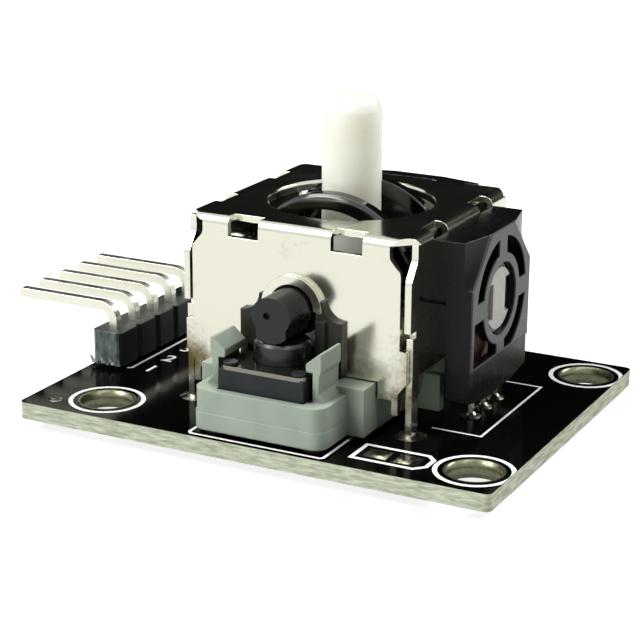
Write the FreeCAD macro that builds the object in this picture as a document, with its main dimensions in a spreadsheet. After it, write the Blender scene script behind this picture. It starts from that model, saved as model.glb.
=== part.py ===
import FreeCAD, Part
import math
import os
import re
import Sketcher

# Two-axis thumb stick on a small circuit board: a folded metal cover over a rocking
# mechanism, two rotary resistors, a push switch under the front shaft and a row of pins.
# Millimetres, +Z up. The origin is the middle of the four mounting holes, on the
# underside of the board.

SIZES = [
    ("board_thick", 1.2, "thickness of the circuit board"),
    ("board_left", 5.2, "from the left mounting holes to the board's left edge"),
    ("board_right", 2.4, "from the right mounting holes to the board's right edge"),
    ("board_side", 3.2, "from the mounting holes to the front and back edges"),
    ("board_corner", 0.5, "corner radius of the board"),
    ("holes_across", 27.6, "distance between mounting holes, left to right"),
    ("holes_deep", 20.6, "distance between mounting holes, front to back"),
    ("mount_bore", 1.9, "radius of a mounting hole"),
    ("pin", 0.64, "side of a square header pin"),
    ("lead_room", 0.05, "room between a pin's corner and its hole in the board"),
    ("lead_bore", "pin * 0.7071 + lead_room", "radius of the board's hole for a lead"),
    ("leg_gap", 0.15, "room around a cover leg in its slot in the board"),
    ("tail", 0.8, "how far every lead stands out under the board"),
    ("solder_wide", 0.9, "radius of a solder cone at the board"),
    ("solder_tip", 0.5, "radius of a solder cone at its lower end"),
    ("solder_tall", 0.55, "height of a solder cone"),
    ("stick_x", -0.6, "the stick's axis, across the board"),
    ("stick_y", 0.9, "the stick's axis, along the board"),
    ("pivot_z", 9.15, "height of both rocking axes above the underside"),
    ("run", 0.05, "running clearance of small pins and slides"),
    ("cover_half", 8.5, "half the outer width of the square metal cover"),
    ("cover_rise", 5.55, "top of the cover above the rocking axes"),
    ("cover_top", "pivot_z + cover_rise", "top of the cover above the board's underside"),
    ("sheet", 0.45, "thickness of the cover's sheet metal"),
    ("fold", 0.65, "outer radius of the cover's folds"),
    ("arch_gap", 1.9, "from the cover's side to the upper yoke's arch"),
    ("arch_outer", "cover_half - arch_gap", "outer radius of the upper yoke's arch"),
    ("hole_in", 0.8, "how much smaller than the arch the cover's round hole is"),
    ("cover_hole", "arch_outer - hole_in", "radius of the round hole in the cover's top"),
    ("lip", 0.35, "thickness of the turned-down lip round that hole"),
    ("lip_deep", 0.2, "how far the lip reaches below the sheet"),
    ("lip_round", 0.2, "easing of the hole's upper edge"),
    ("corner_cut", 1.4, "how far the cover's top corners are cut back"),
    ("corner_ease", 0.5, "radius where the cut corners meet the sides"),
    ("ear_round", 0.55, "radius of the bends in the walls' upper edges"),
    ("face_top_in", 1.55, "how much narrower than the cover the front wall's top is, each side"),
    ("face_mid_in", 0.73, "the same at the front wall's mid height"),
    ("face_low_in", 0.2, "the same below the step in the front wall's sides"),
    ("face_top_half", "cover_half - face_top_in", "half width of the front wall just under the fold"),
    ("face_mid_half", "cover_half - face_mid_in", "half width of the front wall at mid height"),
    ("face_low_half", "cover_half - face_low_in", "half width of the front wall below the step"),
    ("face_neck", 1.3, "from the cover's top to where the front wall starts to widen"),
    ("face_flare", 2.25, "from the cover's top to where the front wall has its middle width"),
    ("face_step", 1.85, "from the rocking axes down to the step in the front wall's sides"),
    ("base_stand", 0.35, "gap between the base moulding and the board"),
    ("base_low", "board_thick + base_stand", "underside of the base moulding"),
    ("floor_thick", 0.85, "thickness of the base moulding's floor"),
    ("base_floor", "base_low + floor_thick", "top of the base moulding's floor"),
    ("rim_tall", 3.3, "height of the base moulding's walls above its underside"),
    ("base_rim", "base_low + rim_tall", "top of the base moulding's walls"),
    ("rim_gap", 0.1, "gap between the base's rim and the cover's front wall"),
    ("face_foot", "base_rim + rim_gap", "lower edge of the front wall over the base's neck"),
    ("face_corner", 0.1, "how far above that edge the front wall's corners are cut off"),
    ("corner_tall", 0.8, "height of those cut corners"),
    ("face_low", 1.15, "how far the front wall reaches down beside the neck"),
    ("tab_in", 1.25, "from the cover's side to the inner side of a small tab"),
    ("tab_wide", 0.45, "width of the front wall's small tabs"),
    ("tab_low", 1.0, "length of the front wall's small tabs"),
    ("side_top_in", 1.05, "how much narrower than the cover a side wall's top is, each side"),
    ("side_mid_in", 0.1, "the same at a side wall's mid height"),
    ("leg_clear", 0.05, "gap between the front wall and a side wall's edge"),
    ("side_top_half", "cover_half - side_top_in", "half width of a side wall just under the fold"),
    ("side_mid_half", "cover_half - side_mid_in", "half width of a side wall at mid height"),
    ("side_low_half", "cover_half - sheet - leg_clear", "half width of a side wall below its notch"),
    ("side_neck", 1.5, "from the cover's top to where a side wall starts to widen"),
    ("side_flare", 2.8, "from the cover's top to where a side wall has its full width"),
    ("side_notch", 0.65, "from the rocking axes down to the notch in a side wall's edge"),
    ("notch_tall", 0.45, "height of the notch in a side wall's edge"),
    ("notch_deep", 0.45, "depth of the notch in a side wall's edge"),
    ("side_low", 0.45, "lower edge of a side wall, between its legs, above the base's rim"),
    ("leg_wide", 1.0, "width of a cover leg"),
    ("window_mid", 3.85, "from the stick's axis to the middle of a window"),
    ("window_half", 1.15, "half width of a window in the fold"),
    ("window_low", 1.35, "from the cover's top to the lower edge of a window"),
    ("window_in", 1.0, "how far a window runs into the top plate"),
    ("shaft", 1.5, "radius of the rocking shafts"),
    ("slot_play", 0.15, "room between a shaft and its slot in the cover"),
    ("slot_half", "shaft + slot_play", "half width of the shaft slots in the cover"),
    ("collar_wall", 0.62, "wall of the half collar round a shaft slot"),
    ("collar_outer", "slot_half + collar_wall", "outer radius of that half collar"),
    ("collar_out", 0.4, "how far the half collar stands out of the wall"),
    ("base_gap", 0.1, "gap between the base moulding and the cover's walls"),
    ("base_half", "cover_half - sheet - base_gap", "half the depth of the base moulding inside the cover"),
    ("base_side", 6.15, "half the width of the base moulding inside the cover"),
    ("base_wall", 1.3, "thickness of the base moulding's walls"),
    ("neck_half", 6.1, "half width of the base just in front of the cover"),
    ("neck_out", 1.7, "how far that part stands out of the cover"),
    ("neck_front", "cover_half + neck_out", "front of that part, from the stick's axis"),
    ("neck_gap", 0.15, "gap between the neck and the cover's front wall beside it"),
    ("switch_out", 1.5, "from the cover's front wall to the middle of the switch"),
    ("switch_mid", "cover_half + switch_out", "middle of the switch, from the stick's axis"),
    ("switch_across", 3.15, "half width of the switch body"),
    ("switch_deep", 3.1, "half depth of the switch body"),
    ("switch_tall", 3.3, "height of the switch body"),
    ("switch_room", 0.08, "gap between the switch and its tray"),
    ("tray_floor", 0.9, "thickness of the tray under the switch"),
    ("switch_low", "base_low + tray_floor", "underside of the switch body"),
    ("switch_high", "switch_low + switch_tall", "top of the switch body"),
    ("arm_gap", 0.35, "room between the switch and a snap arm"),
    ("arm_thick", 0.6, "thickness of a snap arm"),
    ("arm_set", 0.75, "from a snap arm's outer face to the tray's side"),
    ("tray_half", "switch_across + arm_gap + arm_thick + arm_set", "half width of the switch tray"),
    ("tray_wall", 0.65, "from the switch's front to the tray's front"),
    ("tray_front", "switch_mid + switch_deep + tray_wall", "front of the switch tray, from the stick's axis"),
    ("tray_tall", 2.8, "height of the switch tray above the base's underside"),
    ("tray_rim", "base_low + tray_tall", "top of the switch tray"),
    ("tray_corner", 1.0, "corner radius of the switch tray"),
    ("parting_up", 1.2, "height of the mould's parting line above the base's underside"),
    ("parting", "base_low + parting_up", "height of the mould's parting line on the tray"),
    ("parting_out", 0.06, "how far the tray's lower half stands proud"),
    ("foot_radius", 0.8, "radius of the base's standing feet"),
    ("foot_in", 1.2, "from the tray's side to the middle of a foot"),
    ("arm_wide", 2.8, "width of a snap arm"),
    ("arm_ahead", 1.05, "from the switch's middle forward to the middle of a snap arm"),
    ("arm_mid", "switch_mid + arm_ahead", "from the stick's axis to the middle of a snap arm"),
    ("arm_waist", 0.15, "how much thinner a snap arm is between its root and its beak"),
    ("arm_root", 0.25, "how much thicker a snap arm is at its root"),
    ("beak_in", 0.5, "how far a snap arm's beak reaches inward"),
    ("beak_low", 0.27, "room between the switch's plate and a beak"),
    ("beak_tall", 0.55, "height of the beak's blunt end"),
    ("beak_slope", 0.75, "height of the slope above the beak's blunt end"),
    ("beak_round", 0.15, "radius of the beak's edges"),
    ("seat_radius", 3.9, "radius of the spring seat"),
    ("ring_play", 0.08, "room between the spring seat and its guide ring"),
    ("ring_wall", 0.72, "wall of the seat's guide ring"),
    ("ring_inner", "seat_radius + ring_play", "inner radius of the seat's guide ring"),
    ("ring_outer", "ring_inner + ring_wall", "outer radius of the seat's guide ring"),
    ("foot_ball", 3.6, "radius of the stick's round foot about its pivot"),
    ("foot_half", 2.6, "half width of the stick's foot"),
    ("seat_thick", 0.55, "thickness of the spring seat's disc"),
    ("seat_top", "pivot_z - foot_ball - run", "top of the spring seat"),
    ("seat_low", "seat_top - seat_thick", "underside of the spring seat's disc"),
    ("ring_up", 0.35, "how far the guide ring reaches above the seat's underside"),
    ("ring_top", "seat_low + ring_up", "top of the seat's guide ring"),
    ("spigot", 2.5, "radius of the spigot that centres the spring"),
    ("spigot_tall", 0.6, "height of that spigot"),
    ("coil_play", 0.38, "room between the spigot and the return spring"),
    ("coil_wire", 0.22, "radius of the return spring's wire"),
    ("coil_radius", "spigot + coil_play + coil_wire", "middle radius of the return spring"),
    ("coil_turns", 3.0, "turns of the return spring"),
    ("coil_gap", 0.02, "gap between the spring and what it stands on"),
    ("post", 2.08, "radius of the stick's round post"),
    ("post_top", 12.85, "top of the post above the rocking axes"),
    ("post_bevel", 0.95, "height of the post's tapered tip"),
    ("post_tip", 1.55, "radius of the post's flat top"),
    ("cap_seat", 5.0, "length of the post's upper part, on which a thumb cap fits"),
    ("post_relief", 0.03, "how much thinner the post is just below that part"),
    ("post_draft", 0.05, "how much the post widens from there down to the rocking axes"),
    ("flat_half", 1.7, "half thickness of the stick's flattened lower part"),
    ("flat_top", 3.4, "top of the flattened part above the axes"),
    ("pivot_pin", 0.9, "radius of the stick's side pins"),
    ("cradle_wall", 1.0, "thickness of the cradle beside the stick"),
    ("cradle_half", "flat_half + run + cradle_wall", "half width of the lower yoke's cradle"),
    ("pivot_reach", "cradle_half - run", "end of the stick's side pins"),
    ("cradle_slot", "foot_ball", "half length of the slot in the cradle"),
    ("cradle_end", 0.8, "thickness of the cradle's ends"),
    ("cradle_long", "cradle_slot + cradle_end", "half length of the lower yoke's cradle"),
    ("cradle_low", 2.2, "how far the cradle reaches below the axes"),
    ("cradle_high", 1.9, "how far the cradle reaches above the axes"),
    ("cradle_round", 0.4, "radius of the cradle's long edges"),
    ("shoulder_step", 0.5, "height of the shafts' thrust shoulders"),
    ("shoulder", "shaft + shoulder_step", "radius of the shafts' thrust shoulders"),
    ("thrust_gap", 0.15, "gap between a thrust shoulder and the cover's wall"),
    ("shoulder_near", "arch_outer", "inner end of a thrust shoulder"),
    ("shoulder_far", "cover_half - sheet - thrust_gap", "outer end of a thrust shoulder"),
    ("guide_thick", 0.45, "thickness of the shaft guide's wings"),
    ("stub_start", "cover_half + guide_thick", "where the front shaft becomes a half round"),
    ("stub_past", 1.7, "from the switch's middle to the front shaft's face"),
    ("stub_end", "switch_mid + stub_past", "front face of the front shaft, from the stick's axis"),
    ("rib_half", 1.1, "half width of the rib that presses the switch"),
    ("rib_flare", 0.25, "how much wider that rib is at its root, each side"),
    ("rib_low", 1.65, "radius of the rib's rounded underside about the axis"),
    ("key_half", 0.7, "half thickness of the key at a shaft's driven end"),
    ("key_tall", 1.0, "half height of that key"),
    ("key_room", 0.1, "from the cover's wall to the inner end of the key"),
    ("key_start", "cover_half + key_room", "inner end of the key"),
    ("key_play", 0.05, "play of a key in its rotor"),
    ("arch_thick", 1.1, "thickness of the upper yoke's arch"),
    ("arch_inner", "arch_outer - arch_thick", "inner radius of the upper yoke's arch"),
    ("arch_round", 0.22, "radius of the arch's long edges"),
    ("rail_gap", 0.35, "gap between the post and the arch's rails"),
    ("rail", 1.0, "width of one of the arch's rails"),
    ("slot_end", 0.55, "from the arch's inner face to the slot between the rails"),
    ("slot_reach", "arch_inner - slot_end", "half length of the slot between the rails"),
    ("hub_wall", 0.7, "wall of the upper yoke's hubs"),
    ("hub", "shaft + hub_wall", "radius of the upper yoke's hubs"),
    ("left_out", 1.1, "how far the upper yoke's free shaft stands out of the cover"),
    ("left_end", "cover_half + left_out", "end of the upper yoke's free shaft"),
    ("guide_half", 3.8, "half width of the shaft guide"),
    ("guide_drop", 0.5, "shoulders of the shaft guide below the rocking axes"),
    ("guide_low", "base_rim + run", "lower end of the shaft guide"),
    ("guide_high", "pivot_z - guide_drop", "shoulders of the shaft guide"),
    ("boss_wall", 0.72, "width of the shaft guide's raised middle beside the slot"),
    ("boss_out", 0.3, "how far the middle stands proud of the wings"),
    ("guide_play", 0.07, "room between the switch's button and the guide"),
    ("guide_bell", 1.3, "radius of the hollow shoulders of the guide"),
    ("horn", 0.1, "thickness of the guide's horns where they end at the collar"),
    ("button", 1.9, "radius of the switch's button"),
    ("boss_half", "button + guide_play + boss_wall", "half width of the shaft guide's raised middle"),
    ("button_gap", 0.05, "gap between the front shaft's rib and the button"),
    ("button_top", "pivot_z - rib_low - button_gap", "top of the button"),
    ("button_edge", 0.2, "bevel round the button's top"),
    ("flange_out", 0.18, "how much wider than the button its flange is"),
    ("flange", "button + flange_out", "radius of the flange that keeps the button in"),
    ("flange_drop", 0.1, "top of that flange below the switch's top"),
    ("flange_thick", 0.4, "thickness of that flange"),
    ("flange_high", "switch_high - flange_drop", "top of that flange"),
    ("flange_low", "flange_high - flange_thick", "underside of that flange"),
    ("well_play", 0.1, "room between the flange and the well in the switch body"),
    ("well", "flange + well_play", "radius of the well in the switch body"),
    ("well_deep", 1.45, "depth of the well"),
    ("well_low", "switch_high - well_deep", "floor of the well"),
    ("dome_thick", 0.08, "thickness of the contact dome"),
    ("dome_rise", 0.4, "height of the contact dome"),
    ("dome_room", 0.08, "gap between the contact dome and the button"),
    ("button_low", "well_low + dome_rise + dome_thick + dome_room", "lower end of the button"),
    ("plate", 0.28, "thickness of the switch's cover plate"),
    ("plate_corner", 0.6, "corner radius of the cover plate"),
    ("rivet_in", 0.62, "from the switch's side to the middle of a rivet"),
    ("rivet", 0.35, "radius of a rivet"),
    ("rivet_head", 0.5, "radius of a rivet's head"),
    ("rivet_tall", 0.16, "height of a rivet's head"),
    ("blade_wide", 0.7, "width of a switch lead"),
    ("blade_thick", 0.25, "thickness of a switch lead"),
    ("blade_mid", 2.25, "from the switch's middle to a lead"),
    ("blade_drop", 1.55, "from the switch's top to the top of a lead"),
    ("blade_high", "switch_high - blade_drop", "top of a switch lead"),
    ("pot_half", 5.05, "half width of a resistor's housing"),
    ("pot_short", 0.1, "how much less the housing's top rises than its sides stand out"),
    ("pot_top", "pot_half - pot_short", "top of the housing above the axes"),
    ("pot_deep", 2.9, "how far the housing stands out of the cover"),
    ("pot_face", "cover_half + pot_deep", "outer face of the housing, from the stick's axis"),
    ("bevel_deep", 0.7, "from the face to where the housing's bevelled corners begin"),
    ("pot_bevel", "pot_face - bevel_deep", "where the bevelled corners begin, from the stick's axis"),
    ("bevel_low", 1.7, "lower end of the bevels on the face"),
    ("bevel_in", 1.9, "inner end of the bevels at the face's top"),
    ("bevel_inside", 0.95, "how much the bevels take off the housing's inside"),
    ("pot_inner_low", 2.9, "how far the housing's inner half reaches down"),
    ("split_out", 1.0, "depth of the housing's inner half"),
    ("pot_split", "cover_half + split_out", "where the housing's inner half ends"),
    ("face_down", 3.9, "how far the housing's face reaches down"),
    ("skirt_set", 0.1, "how far the housing's lower part stands back from its face"),
    ("skirt_out", "pot_face - skirt_set", "outer side of the housing's lower part"),
    ("skirt_side", 6.05, "lower end of that part's straight sides"),
    ("skirt_tall", 0.45, "height of the slopes under those sides"),
    ("skirt_in", 2.2, "half width of that part at its lower end"),
    ("pot_wall", 0.7, "wall of the housing"),
    ("face_plate", 0.65, "thickness of the housing's face"),
    ("eye_wall", 0.75, "from the housing's side to the round opening in its face"),
    ("eye", "pot_half - eye_wall", "radius of the round opening in the face"),
    ("disc_gap", 0.45, "gap between the rotor's disc and the housing's walls"),
    ("rotor_disc", "pot_half - pot_wall - disc_gap", "radius of the rotor's disc"),
    ("disc_rim", 1.45, "how far the disc stands out from the rotor's hub"),
    ("rotor", "rotor_disc - disc_rim", "radius of the rotor's hub"),
    ("rotor_play", 0.07, "room between the rotor and its bearing"),
    ("bearing", "rotor + rotor_play", "radius of the bearing in the face"),
    ("bearing_wall", 0.62, "wall of the bearing's ring"),
    ("spoke", 1.3, "width of a spoke"),
    ("corner_wall", 0.4, "from the housing's side to the open lower corner of its face"),
    ("corner_low", 3.75, "lower edge of the openings in the face"),
    ("clip_low", 0.6, "lower edge of the notch in the housing's side, above the axes"),
    ("clip_tall", 0.35, "height of that notch"),
    ("clip_deep", 0.35, "depth of that notch"),
    ("wafer_start", 1.0, "from the cover to the resistor's wafer"),
    ("wafer_thick", 0.65, "thickness of the wafer"),
    ("wafer_near", "cover_half + wafer_start", "inner side of the wafer"),
    ("wafer_far", "wafer_near + wafer_thick", "outer side of the wafer"),
    ("wafer_gap", 0.15, "gap between the wafer and the housing's walls"),
    ("wafer_half", "pot_half - pot_wall - wafer_gap", "half width of the wafer"),
    ("wafer_drop", 0.65, "gap between the wafer and the housing's top wall"),
    ("wafer_high", "pot_top - pot_wall - wafer_drop", "top of the wafer above the axes"),
    ("wafer_corner", 1.6, "size of the wafer's cut upper corners"),
    ("wafer_low", 5.4, "how far the wafer reaches down"),
    ("wafer_play", 0.17, "room between the rotor and the wafer's hole"),
    ("wafer_bore", "rotor + wafer_play", "radius of the hole in the wafer"),
    ("rotor_gap", 0.2, "from the cover to the rotor"),
    ("rotor_near", "cover_half + rotor_gap", "inner end of the rotor"),
    ("disc_thick", 0.5, "thickness of the rotor's disc"),
    ("disc_far", "rotor_near + disc_thick", "outer side of the rotor's disc"),
    ("rotor_recess", 0.2, "how far the rotor's end lies behind the face"),
    ("rotor_far", "pot_face - rotor_recess", "outer end of the rotor"),
    ("end_in", 0.32, "how much smaller than its hub the rotor's end is"),
    ("end_deep", 0.3, "length of that smaller end"),
    ("key_short", 0.6, "from the rotor's end to the end of the key"),
    ("key_end", "rotor_far - key_short", "outer end of the key"),
    ("web_half", 1.05, "half width of the web on the rotor's end"),
    ("lens_in", 1.2, "depth of the segments above and below the rotor's hollows"),
    ("lens", "rotor - lens_in", "where the rotor's end segments begin"),
    ("lens_deep", 0.75, "depth of the hollows beside the web"),
    ("wiper_in", 0.2, "how much smaller than the rotor's disc the wiper is"),
    ("wiper_outer", "rotor_disc - wiper_in", "outer radius of the wiper ring"),
    ("wiper_play", 0.05, "room between the rotor's hub and the wiper ring"),
    ("wiper_inner", "rotor + wiper_play", "inner radius of the wiper ring"),
    ("wiper_thick", 0.15, "thickness of the wiper's strip"),
    ("finger", 0.5, "width of a wiper finger"),
    ("finger_lift", 0.1, "how far a wiper finger stands out"),
    ("lead_pitch", 2.1, "distance between a resistor's leads"),
    ("lead_wide", 0.5, "width of a resistor's lead"),
    ("lead_thick", 0.25, "thickness of a resistor's lead"),
    ("lead_lap", 1.0, "how far a lead laps over the wafer"),
    ("lead_top", "wafer_low - lead_lap", "top of a resistor's leads below the axes"),
    ("lug_wide", 0.7, "width of a lug beside a resistor"),
    ("lug_set", 1.25, "from the housing's side to the inner side of a lug"),
    ("lug_in", "pot_half - lug_set", "inner side of the lugs, from the stick's axis"),
    ("lug_out", 0.46, "how far a lug stands out of the cover"),
    ("lug_head", 1.2, "depth of a lug at its top"),
    ("lug_tall", 2.55, "height of a lug"),
    ("lug_up", 0.5, "lower end of a lug above the base's underside"),
    ("lug_low", "base_low + lug_up", "lower end of a lug"),
    ("pin_count", 5, "pins in the header"),
    ("pitch", 2.54, "distance between header pins"),
    ("header_x", -17.57, "the header's pins, across the board"),
    ("header_y", -3.34, "the first header pin, along the board"),
    ("pin_rise", 4.66, "top of the pins' level part above the board"),
    ("pin_high", "board_thick + pin_rise", "top of the pins' level part"),
    ("pin_reach", 8.17, "length of the pins' level part"),
    ("pin_bend", 0.75, "inner radius of the pins' bend"),
    ("pin_point", 0.16, "bevel at a pin's tip"),
    ("strip_gap", 0.22, "gap between the header's strip and the board"),
    ("strip_tall", 2.5, "height of the header's strip"),
    ("strip_half", 1.25, "half width of the header's strip"),
    ("strip_notch", 0.34, "depth and half length of the notches in the strip"),
]

doc = FreeCAD.newDocument("analog_stick")
dim = doc.addObject("Spreadsheet::Sheet", "dim")
for row, (alias, size, note) in enumerate(SIZES, 1):
    dim.set(f"A{row}", note)
    dim.set(f"B{row}", f"={size}")
    dim.setAlias(f"B{row}", alias)
doc.recompute()
NAMES = {alias for alias, size, note in SIZES}

X_AXIS = FreeCAD.Vector(1, 0, 0)
Y_AXIS = FreeCAD.Vector(0, 1, 0)
Z_AXIS = FreeCAD.Vector(0, 0, 1)
NO_TURN = FreeCAD.Rotation()
LEAN = {
    "x": FreeCAD.Rotation(Y_AXIS, 90),
    "y": FreeCAD.Rotation(X_AXIS, -90),
    "z": NO_TURN,
}
ACROSS = {"x": "yz", "y": "xz", "z": "xy"}
DRAWING = {"x": "YZ_Plane", "y": "XZ_Plane", "z": "XY_Plane"}
MIRROR = ((1, ""), (-1, "-"))


def formula(text):
    """Puts the sheet's name before each size that an expression uses."""
    return re.sub(r"[a-z_]+", lambda word: "dim." + word.group() if word.group() in NAMES else word.group(), text)


def bind(piece, prop, text):
    piece.setExpression(prop, formula(text))


def block(name, x, y, z):
    """A box between two planes on each axis."""
    piece = doc.addObject("Part::Box", name)
    for prop, axis, (low, high) in (("Length", "x", x), ("Width", "y", y), ("Height", "z", z)):
        bind(piece, prop, f"({high}) - ({low})")
        bind(piece, f"Placement.Base.{axis}", low)
    return piece


def rod(name, axis, radius, span, centre=("0", "0")):
    """A cylinder along an axis, from one end of its span to the other."""
    piece = doc.addObject("Part::Cylinder", name)
    piece.Placement = FreeCAD.Placement(FreeCAD.Vector(), LEAN[axis])
    bind(piece, "Radius", radius)
    bind(piece, "Height", f"({span[1]}) - ({span[0]})")
    bind(piece, f"Placement.Base.{axis}", span[0])
    for other, place in zip(ACROSS[axis], centre):
        bind(piece, f"Placement.Base.{other}", place)
    return piece


def turned_rod(name, radius, half, ease):
    """A cylinder along Y, centred, whose two end edges are eased."""
    body = doc.addObject("PartDesign::Body", name)
    points = [("0", f"-({half})"), (f"{radius} - {ease}", f"-({half})"), (radius, f"-({half}) + {ease}"), (radius, f"{half} - {ease}"), (f"{radius} - {ease}", half), ("0", half)]
    sketch = outline(body, name + "_outline", "z", points, "0")
    spin = body.newObject("PartDesign::Revolution", name + "_spin")
    spin.Profile = sketch
    spin.ReferenceAxis = (sketch, ["V_Axis"])
    spin.Angle = 360
    return body


def join(name, pieces):
    piece = doc.addObject("Part::MultiFuse", name)
    piece.Shapes = pieces
    piece.Refine = True
    return piece


def remove(name, base, tools):
    tool = tools[0] if len(tools) == 1 else join(name + "_tools", tools)
    piece = doc.addObject("Part::Cut", name)
    piece.Base = base
    piece.Tool = tool
    piece.Refine = True
    return piece


def overlap(name, first, second):
    piece = doc.addObject("Part::Common", name)
    piece.Base = first
    piece.Tool = second
    piece.Refine = True
    return piece


def group(name, pieces):
    piece = doc.addObject("Part::Compound", name)
    piece.Links = pieces
    return piece


def outline(body, name, axis, points, level):
    """A closed sketch across an axis, with each corner tied to the sheet."""
    sketch = body.newObject("Sketcher::SketchObject", name)
    plane = next(item for item in body.Origin.OriginFeatures if item.Role == DRAWING[axis])
    sketch.AttachmentSupport = [(plane, "")]
    sketch.MapMode = "FlatFace"
    bind(sketch, "AttachmentOffset.Base.z", level)
    count = len(points)
    for number in range(count):
        start = FreeCAD.Vector(number, number * number, 0)
        after = (number + 1) % count
        end = FreeCAD.Vector(after, after * after, 0)
        sketch.addGeometry(Part.LineSegment(start, end), False)
    for number in range(count):
        sketch.addConstraint(Sketcher.Constraint("Coincident", number, 2, (number + 1) % count, 1))
    for number, corner in enumerate(points):
        for kind, place in zip(("DistanceX", "DistanceY"), corner):
            index = sketch.addConstraint(Sketcher.Constraint(kind, -1, 1, number, 1, 1.0 + number))
            bind(sketch, f"Constraints[{index}]", place)
    return sketch


def prism(name, axis, points, span, rounds=()):
    """A straight-sided solid drawn across an axis; rounds are (corner numbers, radius)."""
    body = doc.addObject("PartDesign::Body", name)
    level = f"-({span[1]})" if axis == "y" else span[0]
    sketch = outline(body, name + "_outline", axis, points, level)
    pad = body.newObject("PartDesign::Pad", name + "_pad")
    pad.Profile = sketch
    bind(pad, "Length", f"({span[1]}) - ({span[0]})")
    for turn, (corners, radius) in enumerate(rounds):
        doc.recompute()
        tip = body.Tip
        places = [sketch.Placement.multVec(sketch.Geometry[number].StartPoint) for number in corners]
        edges = [f"Edge{index}" for index, edge in enumerate(tip.Shape.Edges, 1) if stands_on(edge, places, axis)]
        fillet = body.newObject("PartDesign::Fillet", f"{name}_round_{turn}")
        fillet.Base = (tip, edges)
        bind(fillet, "Radius", radius)
    return body


def stands_on(edge, places, axis):
    """Whether a straight edge starts at a sketch's corner and runs square to the sketch."""
    if len(edge.Vertexes) != 2:
        return False
    near, far = [vertex.Point for vertex in edge.Vertexes]
    step = far.sub(near)
    if sum(abs(getattr(step, other)) for other in ACROSS[axis]) > 1e-5:
        return False
    return any(min(near.distanceToPoint(spot), far.distanceToPoint(spot)) < 1e-5 for spot in places)


def turned(name, points):
    """A solid of revolution about the upright axis, from (radius, height) corners."""
    body = doc.addObject("PartDesign::Body", name)
    sketch = outline(body, name + "_outline", "y", points, "0")
    spin = body.newObject("PartDesign::Revolution", name + "_spin")
    spin.Profile = sketch
    spin.ReferenceAxis = (sketch, ["V_Axis"])
    spin.Angle = 360
    return body


def both_sides(points):
    """The right half of a symmetric outline, from top to bottom, and its mirror image."""
    return list(points) + [(f"-({across})", height) for across, height in reversed(points)]


finished = []


def place(piece, label, x, y, z, turn=NO_TURN):
    """Names a sub-part and puts it where it belongs in the whole."""
    piece.Label = label
    piece.Placement = FreeCAD.Placement(FreeCAD.Vector(), turn)
    for axis, text in zip("xyz", (x, y, z)):
        bind(piece, f"Placement.Base.{axis}", text)
    finished.append(piece)


def number_of(alias):
    return int(round(float(dim.get(alias))))


# Where leads pass through the board, from the board's own origin

PINS = range(number_of("pin_count"))
header_spots = [("header_x", f"header_y + {index} * pitch") for index in PINS]
right_spots = [("stick_x + wafer_far + lead_thick / 2", f"stick_y + ({step}) * lead_pitch") for step in (-1, 0, 1)]
back_spots = [(f"stick_x - ({step}) * lead_pitch", "stick_y + wafer_far + lead_thick / 2") for step in (-1, 0, 1)]
switch_spots = [
    (f"stick_x {across} (switch_across + blade_thick / 2)", f"stick_y - switch_mid {along} blade_mid")
    for across in "+-"
    for along in "+-"
]
leg_spots = [
    (f"stick_x {across} (cover_half - sheet / 2)", f"stick_y {along} (side_low_half - leg_wide / 2)")
    for across in "+-"
    for along in "+-"
]


def circuit_board():
    left = "-(holes_across / 2 + board_left)"
    right = "holes_across / 2 + board_right"
    back = "holes_deep / 2 + board_side"
    corners = [(left, f"-({back})"), (right, f"-({back})"), (right, back), (left, back)]
    panel = prism("panel", "z", corners, ("0", "board_thick"), [((0, 1, 2, 3), "board_corner")])
    through = ("-1", "board_thick + 1")
    cuts = []
    for across in "+-":
        for along in "+-":
            centre = (f"0 {across} holes_across / 2", f"0 {along} holes_deep / 2")
            cuts.append(rod("mounting_hole", "z", "mount_bore", through, centre))
    for spot in header_spots + right_spots + back_spots + switch_spots:
        cuts.append(rod("lead_hole", "z", "lead_bore", through, spot))
    for x, y in leg_spots:
        half_x = "(sheet / 2 + leg_gap)"
        half_y = "(leg_wide / 2 + leg_gap)"
        cuts.append(block("leg_slot", (f"{x} - {half_x}", f"{x} + {half_x}"), (f"{y} - {half_y}", f"{y} + {half_y}"), through))
    place(remove("board", panel, cuts), "circuit_board", "0", "0", "0")


def solder_joints():
    """A cone of solder round each lead on the underside."""
    leads = [(spot, "pin / 2", "pin / 2") for spot in header_spots]
    leads += [(spot, "lead_thick / 2", "lead_wide / 2") for spot in right_spots]
    leads += [(spot, "lead_wide / 2", "lead_thick / 2") for spot in back_spots]
    leads += [(spot, "blade_thick / 2", "blade_wide / 2") for spot in switch_spots]
    leads += [(spot, "sheet / 2", "leg_wide / 2") for spot in leg_spots]
    joints = []
    for index, ((x, y), half_x, half_y) in enumerate(leads):
        cone = doc.addObject("Part::Cone", "solder_cone")
        bind(cone, "Radius1", f"solder_tip + {half_y} / 4")
        bind(cone, "Radius2", f"solder_wide + {half_y} / 4")
        bind(cone, "Height", "solder_tall")
        bind(cone, "Placement.Base.x", x)
        bind(cone, "Placement.Base.y", y)
        bind(cone, "Placement.Base.z", "-solder_tall")
        lead = block("solder_core", (f"{x} - {half_x}", f"{x} + {half_x}"), (f"{y} - {half_y}", f"{y} + {half_y}"), ("-1", "1"))
        joints.append(remove(f"solder_{index}", cone, [lead]))
    place(group("solder", joints), "solder_joints", "0", "0", "0")


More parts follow.
